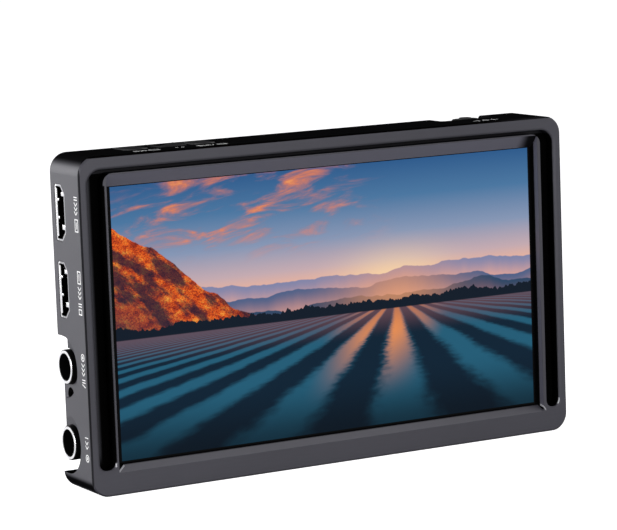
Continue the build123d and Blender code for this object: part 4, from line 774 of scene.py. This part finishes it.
class MONITOR_OT_dress_parts(bpy.types.Operator):
    """Puts finishes on the sockets, the display stack, the boards and their parts"""

    bl_idname = "monitor.dress_parts"
    bl_label = "Sockets and inner parts"

    def execute(self, context):
        dress(plated_socket_finish(), "hdmi_in_shell", "hdmi_out_shell", "usb_shell")
        dress(coaxial_socket_finish(), "sdi_in_jack", "sdi_out_jack")
        gold_nodes = "sdi_in_contact sdi_out_contact dc_pin battery_contacts"
        even, along_x, along_z = (60.0, 60.0, 60.0), (4.0, 60.0, 60.0), (60.0, 60.0, 4.0)
        dress_rows(
            polished_metal,
            ("contact_gold", (0.83, 0.6, 0.27), 0.25, even, gold_nodes),
            ("tray_steel", (0.55, 0.56, 0.58), 0.35, along_x, "backlight_tray"),
            ("screw_steel", (0.5, 0.5, 0.52), 0.3, even, "frame_screws board_screws"),
            ("screw_zinc", (0.5, 0.5, 0.52), 0.3, even, "key_board_screws rocker_pin"),
            ("frame_aluminium", (0.62, 0.63, 0.65), 0.4, along_z, "board_frame heat_spreader"),
            ("spring_steel", (0.6, 0.6, 0.62), 0.22, even, "latch_spring"),
        )
        tongues = "hdmi_in_tongue hdmi_out_tongue usb_tongue"
        insulators = "sdi_in_insulator sdi_out_insulator"
        dress_rows(
            moulded_plastic,
            ("socket_tongue", (0.004, 0.004, 0.004), 0.5, 0.1, tongues),
            ("jack_plastic", (0.01, 0.01, 0.011), 0.45, 0.15, "dc_jack headphone_jack"),
            ("socket_insulator", (0.03, 0.03, 0.03), 0.5, 0.1, insulators),
            ("chip_resin", (0.02, 0.02, 0.021), 0.5, 0.08, "processor memory_chips"),
            ("thermal_pad", (0.3, 0.34, 0.4), 0.8, 0.3, "thermal_pad"),
            ("connector_plastic", (0.7, 0.66, 0.56), 0.5, 0.25, "flex_connectors"),
            ("switch_plastic", (0.06, 0.06, 0.06), 0.5, 0.25, "key_switches power_switch"),
            ("gasket_foam", (0.01, 0.01, 0.01), 0.95, 0.3, "panel_gasket"),
            ("panel_glass", (0.02, 0.022, 0.026), 0.12, 2.0, "lcd_panel"),
        )
        dress_rows(
            dotted_finish,
            ("light_guide", (0.75, 0.8, 0.8), (0.95, 0.95, 0.95), "light_guide"),
            ("diffuser_film", (0.8, 0.8, 0.78), (0.88, 0.88, 0.86), "diffuser_sheet"),
            ("led_strip", (0.8, 0.78, 0.7), (0.9, 0.75, 0.2), "led_strip"),
        )
        dress(circuit_board_finish(), "main_board", "key_board", "power_board")
        dress(flex_finish(), "panel_flex", "key_flex", "power_flex")
        dress(lead_finish(), "battery_leads")
        return {"FINISHED"}


def circuit_board_finish():
    """Dark solder mask with fine traces and plated pads."""
    finish = Finish("circuit_board")
    cell = finish.cells(1.0, finish.stretched((700.0, 700.0, 700.0)), distance="CHEBYCHEV")
    steps = cell * 6.0
    line = steps.math("FRACT", steps)
    trace = line.ramp(0.55, 0.62) * (1 - line.ramp(0.78, 0.85))
    pads = (1 - cell.ramp(0.05, 0.07)) * (finish.noise(120.0) > 0.55)
    mask = finish.mix(trace, (0.006, 0.045, 0.022), (0.012, 0.09, 0.045))
    return finish.drive(
        Base_Color=finish.mix(pads, mask, (0.8, 0.6, 0.25)),
        Metallic=pads,
        Roughness=0.38 - pads * 0.1,
        Normal=finish.bump(trace + pads, 0.02, 0.6),
    )


def flex_finish():
    """Amber film with copper lines."""
    finish = Finish("flex_film", Roughness=0.3)
    x, y, z = finish.axes()
    steps = x * 2.0
    lines = steps.math("FRACT", steps).ramp(0.4, 0.5)
    return finish.drive(
        Base_Color=finish.mix(lines, (0.42, 0.16, 0.03), (0.6, 0.28, 0.08)),
        Normal=finish.bump(lines, 0.02, 0.5),
    )


def dotted_finish(name, colour, dot_colour):
    """A light film or guide with a grid of printed dots."""
    finish = Finish(name)
    spot = 1 - finish.cells(800.0, randomness=0.0).ramp(0.2, 0.3)
    return finish.drive(
        Base_Color=finish.mix(spot, colour, dot_colour),
        Roughness=spot * 0.3 + 0.25,
        Normal=finish.bump(spot, 0.01, 0.5),
    )


def lead_finish():
    """One red and one black insulated lead."""
    finish = Finish("lead_insulation")
    x, y, z = finish.axes()
    ripple = finish.noise(900.0, detail=2.0)
    return finish.drive(
        Base_Color=finish.mix(x > 0.0, (0.012, 0.012, 0.012), (0.5, 0.02, 0.015)),
        Roughness=ripple * 0.1 + 0.4,
        Normal=finish.bump(ripple, 0.01, 0.4),
    )


# ---- Contacts and springs in the sockets ----
def slope_end(piece, scale, centre=None):
    """Shrinks the end of a piece that faces the socket's mouth."""
    select_faces(piece, lambda normal: normal.x < -0.9)
    settings = {} if centre is None else dict(center_override=Vector(centre) * MM)
    bpy.ops.transform.resize(value=scale, **settings)
    set_mode("OBJECT")
    return piece


def spring_tab(centre, size):
    """A spring tab of a socket shell, with its leading end sloped."""
    return soften_edges(slope_end(add_bar(centre, size), (1, 0.8, 0.86)), 0.08)


def flared_wall(mouth, wall, middle, length):
    """The rear wall's flared lead-in, thin at the mouth and thicker behind it."""
    flare = add_bar((mouth + 0.16, wall - 0.1, middle), (0.26, 0.2, length))
    return soften_edges(slope_end(flare, (1, 0.12, 1), (mouth, wall, middle)), 0.03)


class MONITOR_OT_add_hdmi_contacts(bpy.types.Operator):
    """Adds the spring tabs, lead-ins and contact rows of the two wide sockets on the left"""

    bl_idname = "monitor.add_hdmi_contacts"
    bl_label = "Wide socket contacts"

    def execute(self, context):
        steel = polished_metal("socket_spring", (0.92, 0.92, 0.94), 0.2)
        # the contact rows: gold darkened to about a third, as painted shade deep in the sockets
        gold = polished_metal("socket_contact_shaded_gold", (0.25, 0.17, 0.07), 0.35)
        wall = 0.5
        for node in ("hdmi_in", "hdmi_out"):
            low, high, centre = box_in_mm(node + "_shell")
            mouth, front, back, middle = low.x, low.y + wall, high.y - wall, centre.z
            tabs = [
                spring_tab((mouth + 0.55, front + 1.1, middle + 5.1), (0.75, 2.5, 1.3)),
                spring_tab((mouth + 0.55, front + 1.1, middle - 3.9), (0.75, 2.5, 1.5)),
                spring_tab((mouth + 0.6, back - 0.35, middle + 3.4), (0.5, 0.7, 0.8)),
                spring_tab((mouth + 0.6, back - 0.35, middle - 1.5), (0.5, 0.7, 0.8)),
                flared_wall(mouth, back, middle, 13.0),
            ]
            hand_over(join_pieces(node + "_spring_tabs", tabs), steel)
            low, high, centre = box_in_mm(node + "_tongue")
            blades = []
            for face, count in ((low.y - 0.03, 10), (high.y + 0.03, 9)):
                lowest = (low.x + 3.6, face, middle - (count - 1) / 2)
                blades += bar_row(lowest, (6.2, 0.14, 0.5), 0.03, count, 1.0)
            hand_over(join_pieces(node + "_contacts", blades), gold)
        return {"FINISHED"}


class MONITOR_OT_add_small_details(bpy.types.Operator):
    """Adds the latch's grip ribs, and the contacts and rings of the ports on the right"""

    bl_idname = "monitor.add_small_details"
    bl_label = "Latch and port details"

    def execute(self, context):
        plastic = moulded_plastic("latch_rib_plastic", (0.014, 0.014, 0.016), 0.5)
        low, high, centre = box_in_mm("battery_latch")
        lowest = (centre.x, high.y, centre.z - 3.9)
        ribs = bar_row(lowest, (6.0, 0.5, 0.55), 0.12, 5, 1.3, segments=2)
        hand_over(join_pieces("latch_grip", ribs), plastic, "battery_latch")

        steel = polished_metal("port_ring", (0.85, 0.85, 0.87), 0.2)
        gold = polished_metal("port_contact", (0.83, 0.62, 0.3), 0.3)
        low, high, centre = box_in_mm("usb_tongue")
        pitch, count = 0.5, 12
        blades = []
        for face in (low.y - 0.02, high.y + 0.02):
            lowest = (high.x - 3.0, face, centre.z - (count - 1) / 2 * pitch)
            blades += bar_row(lowest, (4.6, 0.1, 0.26), 0.02, count, pitch)
        hand_over(join_pieces("usb_contacts", blades), gold)
        # the rings around the headphone socket and the power socket
        for radius, width, y, z in ((2.75, 0.9, 3.15, 33.5), (3.5, 0.5, 3.85, 76.5)):
            ring = soften_edges(add_ring((0, 0, 0), radius, width, 0.16), 0.05)
            turn = Matrix.Rotation(math.radians(90), 4, "Y")
            place = Matrix.Translation(Vector((RIGHT_FACE - 0.16, y, z)) * MM)
            hand_over(point_outwards(move_piece(ring, place @ turn)), steel)
        return {"FINISHED"}


# ---- Tripod threads ----
# An insert, in mm: its body, the flat rim and the chamfer at its mouth, and its bore
INSERT_RADIUS, INSERT_LENGTH, RIM, CHAMFER, BORE_LENGTH = 4.75, 6.2, 1.3, 0.3, 5.3
# The section of its thread's ridge, as radius and height
THREAD_SECTION = ((3.2, -0.45), (2.64, -0.08), (2.64, 0.08), (3.2, 0.45))
THREAD_START = 0.75


def threaded_insert(name, look, matrix):
    """A blind insert with a helical inner thread, its mouth at the origin and its body along +Z."""
    body = add_round((0, 0, INSERT_LENGTH / 2), INSERT_RADIUS, INSERT_LENGTH, 72)
    select_faces(body, lambda normal: normal.z < -0.9)
    bpy.ops.mesh.inset(thickness=RIM * MM)
    bpy.ops.mesh.inset(thickness=CHAMFER * MM)
    bpy.ops.transform.translate(value=(0, 0, CHAMFER * MM))
    bore = dict(value=(0, 0, BORE_LENGTH * MM))
    bpy.ops.mesh.extrude_region_move(TRANSFORM_OT_translate=bore)
    set_mode("OBJECT")
    body = soften_edges(body, 0.12)

    deselect_all()
    bpy.ops.mesh.primitive_circle_add(vertices=4, radius=0.5 * MM, fill_type="NOTHING")
    ridge = bpy.context.object
    for vertex, (radius, height) in zip(ridge.data.vertices, THREAD_SECTION):
        vertex.co = (radius * MM, 0, height * MM + THREAD_START * MM)
    screw = ridge.modifiers.new("thread", "SCREW")
    screw.screw_offset = look.pitch
    screw.iterations = look.turns - 1
    screw.steps = screw.render_steps = 40
    screw.use_smooth_shade = True
    make_active(ridge)
    bpy.ops.object.modifier_apply(modifier=screw.name)
    set_mode("EDIT")
    bpy.ops.mesh.select_all(action="SELECT")
    bpy.ops.mesh.fill_holes(sides=4)
    set_mode("OBJECT")
    point_outwards(ridge)
    insert = move_piece(join_pieces(name, [body, ridge]), matrix)
    bpy.ops.object.shade_smooth_by_angle(angle=math.radians(40))
    return insert


class MONITOR_OT_add_threads(bpy.types.Operator):
    """Replaces the two plain tripod inserts with threaded ones"""

    bl_idname = "monitor.add_threads"
    bl_label = "Tripod threads"

    def execute(self, context):
        look = context.scene.thread_look
        metal = polished_metal("insert_metal", (0.56, 0.55, 0.53), 0.3)
        side = Matrix.Translation(Vector((RIGHT_FACE, 1.55, 47.0)) * MM)
        side = side @ Matrix.Rotation(math.radians(-90), 4, "Y")
        for name, node, matrix in (
            ("bottom_thread", "bottom_insert", Matrix.Identity(4)),
            ("side_thread", "side_insert", side),
        ):
            insert = threaded_insert(name, look, matrix)
            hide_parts(node)
            hand_over(insert, metal)
        return {"FINISHED"}


# ---- Printed symbols ----
# Each printed surface, as the directions along a symbol and up its height
SURFACES = {
    "left": ((0, 0, -1), (0, -1, 0)),
    "top": ((1, 0, 0), (0, 1, 0)),
    "back": ((-1, 0, 0), (0, 0, 1)),
}


class Pen:
    """Draws the strokes of a symbol lying flat, and prints them on a surface. Sizes in mm."""

    tall = 2.0
    arrow = 1.25

    def __init__(self, look):
        self.width = look.stroke / MM
        self.thickness = look.thickness
        self.material = print_finish(look)

    def bar(self, x, y, length, angle=0.0):
        """A straight stroke."""
        bar = add_bar((0, 0, 0), (length, self.width, 1))
        turn = Matrix.Rotation(math.radians(angle), 4, "Z")
        return [move_piece(bar, Matrix.Translation((x * MM, y * MM, 0)) @ turn)]

    def ring(self, x, radius):
        """A ring."""
        return [add_ring((x, 0, 0), radius, self.width, 1, 28)]

    def dashes(self, *places):
        """Upright strokes at these places."""
        return [stroke for x in places for stroke in self.bar(x, 0, self.tall, 90)]

    def arrows(self, *places):
        """Arrowheads at these places, each of two strokes."""
        strokes = []
        for x in places:
            for side in (-1, 1):
                strokes += self.bar(x, side * self.arrow / 2.6, self.arrow, -side * 45)
        return strokes

    def box(self, x, length):
        """Four strokes around a rectangle."""
        strokes = []
        for side in (-1, 1):
            strokes += self.bar(x, side * (self.tall - self.width) / 2, length)
            place = x + side * (length - self.width) / 2
            strokes += self.bar(place, 0, self.tall - 2 * self.width, 90)
        return strokes

    def print(self, name, surface, origin, strokes):
        """Flattens the strokes to the print's thickness and lays them on a surface."""
        along, upright = map(Vector, SURFACES[surface])
        normal = along.cross(upright)
        turn = Matrix((along, upright, normal)).transposed().to_4x4()
        flat = Matrix.Diagonal((1, 1, self.thickness / MM, 1))
        lift = Vector(origin) * MM + normal * 0.2 * self.thickness
        symbol = move_piece(join_pieces(name, strokes), Matrix.Translation(lift) @ turn @ flat)
        hand_over(point_outwards(symbol), self.material)


def print_finish(look):
    """White print with fine specks."""
    finish = Finish("white_print", 0.3)
    specks = finish.noise(2500.0, detail=3.0)
    dark = toned(look.colour, 0.75)
    return finish.drive(
        Base_Color=finish.mix(specks.ramp(0.3, 0.6), dark, tuple(look.colour)),
        Roughness=specks * 0.2 + 0.45,
        Normal=finish.bump(specks, 0.006, 0.5),
    )


class MONITOR_OT_add_symbols(bpy.types.Operator):
    """Prints small generic symbols beside the left sockets, the top keys, the latch and the battery
    contacts
    """

    bl_idname = "monitor.add_symbols"
    bl_label = "Symbols"

    def execute(self, context):
        pen = Pen(context.scene.symbol_look)
        bar, ring, box, dashes, arrows = pen.bar, pen.ring, pen.box, pen.dashes, pen.arrows
        row = -6.85
        strokes = dashes(-4.6, -3.9) + arrows(-2.7, -1.5, -0.3)
        strokes += box(3.0, 3.5) + bar(3.0, 0, 1.9)
        pen.print("video_in_symbol", "left", (LEFT_FACE, row, 76.75), strokes)
        strokes = box(-4.2, 3.5) + bar(-4.2, 0, 1.9) + arrows(-1.2, 0.0, 1.2)
        strokes += dashes(2.9, 3.6) + box(5.1, 1.6)
        pen.print("video_out_symbol", "left", (LEFT_FACE, row, 55.6), strokes)
        strokes = ring(-3.7, 1.05) + ring(-3.7, 0.4) + arrows(-1.6, -0.4, 0.8)
        strokes += dashes(2.4, 3.1) + bar(4.0, 0, 2.0, 70)
        pen.print("line_out_symbol", "left", (LEFT_FACE, row, 34.5), strokes)
        strokes = ring(2.4, 1.05) + ring(2.4, 0.4) + dashes(-3.2)
        pen.print("line_in_symbol", "left", (LEFT_FACE, row, 13.15), strokes + arrows(-1.8, -0.6))

        strokes = dashes(-3.4, -2.6) + arrows(-1.5, -0.3) + box(2.4, 2.9)
        pen.print("input_symbol", "top", (-54.2, -5.6, TOP_FACE), strokes)
        strokes = bar(-0.9, 0, 0.9) + bar(0.9, 0, 0.9) + bar(0.9, 0, 0.9, 90)
        pen.print("level_symbol", "top", (-43.6, -4.6, TOP_FACE), strokes)
        strokes = bar(-3.3, -0.85, 2.2) + bar(-3.3, 0.0, 2.2) + bar(-3.3, 0.85, 2.2)
        strokes += dashes(-1.5, -0.8) + bar(0.3, 0, 2.2, 65) + box(3.0, 2.6)
        pen.print("menu_symbol", "top", (-34.4, -5.7, TOP_FACE), strokes)
        strokes = ring(0, 1.0) + bar(0, 0.9, 1.2, 90) + dashes(-2.6, 2.6)
        strokes += bar(-3.7, 0, 1.0) + bar(3.7, 0, 1.0)
        pen.print("power_symbol", "top", (54.0, -4.8, TOP_FACE), strokes)

        strokes = arrows(-1.2, 0.0, 1.2) + bar(3.0, 0, 2.2, 90)
        pen.print("release_symbol", "back", (18.0, BATTERY_FACE, 52.0), strokes)
        pen.print("minus_symbol", "back", (-7.7, BATTERY_FACE, 24.4), bar(0, 0, 2.0))
        strokes = bar(0, 0, 2.0) + bar(0, -0.6, 0.75, 90) + bar(0, 0.6, 0.75, 90)
        pen.print("plus_symbol", "back", (7.7, BATTERY_FACE, 24.4), strokes)
        return {"FINISHED"}


# ---- Studio ----
def add_plane(name, paint, size, centre=(0, 0, 0), turn=(0, 0, 0)):
    """A plane that belongs to the studio, and the empty node tree of its paint."""
    deselect_all()
    bpy.ops.mesh.primitive_plane_add(size=1, location=centre, rotation=turn)
    plane = bpy.context.object
    plane.name = name
    plane.scale = (*size, 1)
    bpy.ops.object.transform_apply()
    plane.data.materials.append(bpy.data.materials.new(paint))
    return plane, Nodes(plane.data.materials[0])


def add_dark_card(name, centre, size, turn):
    """A black card only reflections see, to keep edges crisp, and under the object as painted
    shade.
    """
    card, nodes = add_plane(name, name, size, centre, turn)
    black = nodes.add("ShaderNodeBsdfDiffuse", {}, [(0.0, 0.0, 0.0)])
    nodes.end("ShaderNodeOutputMaterial", black)
    card.visible_camera = card.visible_diffuse = card.visible_shadow = False
    card.visible_transmission = False


def add_soft_light(name, place, size, watts):
    """A square soft light that looks at the middle of the object."""
    light = bpy.data.lights.new(name, "AREA")
    light.shape = "SQUARE"
    light.size = size
    light.energy = watts
    lamp = bpy.data.objects.new(name, light)
    bpy.context.collection.objects.link(lamp)
    lamp.location = place
    middle = Vector((0.0, 0.0, TOP_FACE / 2 * MM))
    lamp.rotation_euler = (middle - Vector(place)).to_track_quat("-Z", "Y").to_euler()


def add_surroundings(scene):
    """White for the camera, for reflections and through glass, and a plain grey for light."""
    scene.world = bpy.data.worlds.new("white_surroundings")
    nodes = Nodes(scene.world)
    seen = nodes.ray("Camera")
    white = seen.math("MAXIMUM", seen, nodes.shiny_ray())
    colour = nodes.mix(white, (0.3, 0.3, 0.31), (1.0, 1.0, 1.0))
    background = nodes.add("ShaderNodeBackground", {}, [colour])
    nodes.end("ShaderNodeOutputWorld", background)


def add_floor():
    """A pale floor, which the camera and reflections see brighter than its light alone."""
    nodes = add_plane("floor", "pale_floor", (6.0, 6.0))[1]
    lit = nodes.add("ShaderNodeBsdfDiffuse", {}, [(0.8, 0.8, 0.8)])
    strength = nodes.shiny_ray() * 0.3 + nodes.ray("Camera") * 0.8
    white = nodes.add("ShaderNodeEmission", {}, {"Strength": strength})
    nodes.end("ShaderNodeOutputMaterial", nodes.add("ShaderNodeAddShader", {}, [lit, white]))


class MONITOR_OT_build_studio(bpy.types.Operator):
    """Adds the camera, the lights, the white surroundings and the floor"""

    bl_idname = "monitor.build_studio"
    bl_label = "Studio"

    def execute(self, context):
        scene = context.scene
        look = scene.studio_look
        camera = bpy.data.objects.new("camera", bpy.data.cameras.new("camera"))
        scene.collection.objects.link(camera)
        camera.location = (-0.39134, -0.71285, 0.16844)
        camera.rotation_euler = [math.radians(a) for a in (82.0576, 2.0961, -28.8811)]
        camera.data.lens = look.focal_length
        camera.data.sensor_width = 36.0
        camera.data.clip_start = 0.01
        scene.camera = camera
        scene.view_settings.view_transform = "Standard"
        add_surroundings(scene)
        add_soft_light("key_light", (-1.0, -0.06, 0.14), 0.7, look.key_power)
        add_soft_light("fill_light", (0.1, -1.2, 0.3), 0.8, look.fill_power)
        add_soft_light("top_light", (0.5, -0.15, 1.1), 0.5, look.top_power)
        add_soft_light("back_light", (-0.55, 0.9, 0.15), 0.5, look.back_power)
        add_dark_card("card_behind", (0.75, 0.8, 0.7), (1.9, 1.4), (math.radians(90), 0, 0))
        # a black card under and behind the object, seen only in reflections, as painted shade on
        # the floor there
        add_dark_card("shade_card_below", (0.11, 0.24, 0.0002), (0.378, 0.5), (0, 0, 0))
        add_floor()
        return {"FINISHED"}


# ---- Panel and registration ----
OPERATORS = (
    MONITOR_OT_dress_housing,
    MONITOR_OT_paint_picture,
    MONITOR_OT_dress_parts,
    MONITOR_OT_add_hdmi_contacts,
    MONITOR_OT_add_small_details,
    MONITOR_OT_add_threads,
    MONITOR_OT_add_symbols,
    MONITOR_OT_build_studio,
)
LOOKS = {
    "monitor_look": MonitorLook,
    "picture_look": PictureLook,
    "symbol_look": SymbolLook,
    "thread_look": ThreadLook,
    "studio_look": StudioLook,
}


class MONITOR_PT_dressing(bpy.types.Panel):
    """Lists the sizes and colours, and the steps that use them"""

    bl_idname = "MONITOR_PT_dressing"
    bl_label = "Field monitor"
    bl_space_type = "VIEW_3D"
    bl_region_type = "UI"
    bl_category = "Monitor"

    def draw(self, context):
        for name, group in LOOKS.items():
            box = self.layout.box()
            for prop in group.__annotations__:
                box.prop(getattr(context.scene, name), prop)
        for operator in OPERATORS:
            self.layout.operator(operator.bl_idname)


def register():
    for item in (*LOOKS.values(), *OPERATORS, MONITOR_PT_dressing):
        bpy.utils.register_class(item)
    for name, group in LOOKS.items():
        setattr(bpy.types.Scene, name, PointerProperty(type=group))


def unregister():
    for name in LOOKS:
        delattr(bpy.types.Scene, name)
    for item in (MONITOR_PT_dressing, *reversed(OPERATORS), *LOOKS.values()):
        bpy.utils.unregister_class(item)


def main():
    register()
    for operator in OPERATORS:
        area, name = operator.bl_idname.split(".")
        getattr(getattr(bpy.ops, area), name)()


if __name__ == "__main__":
    main()
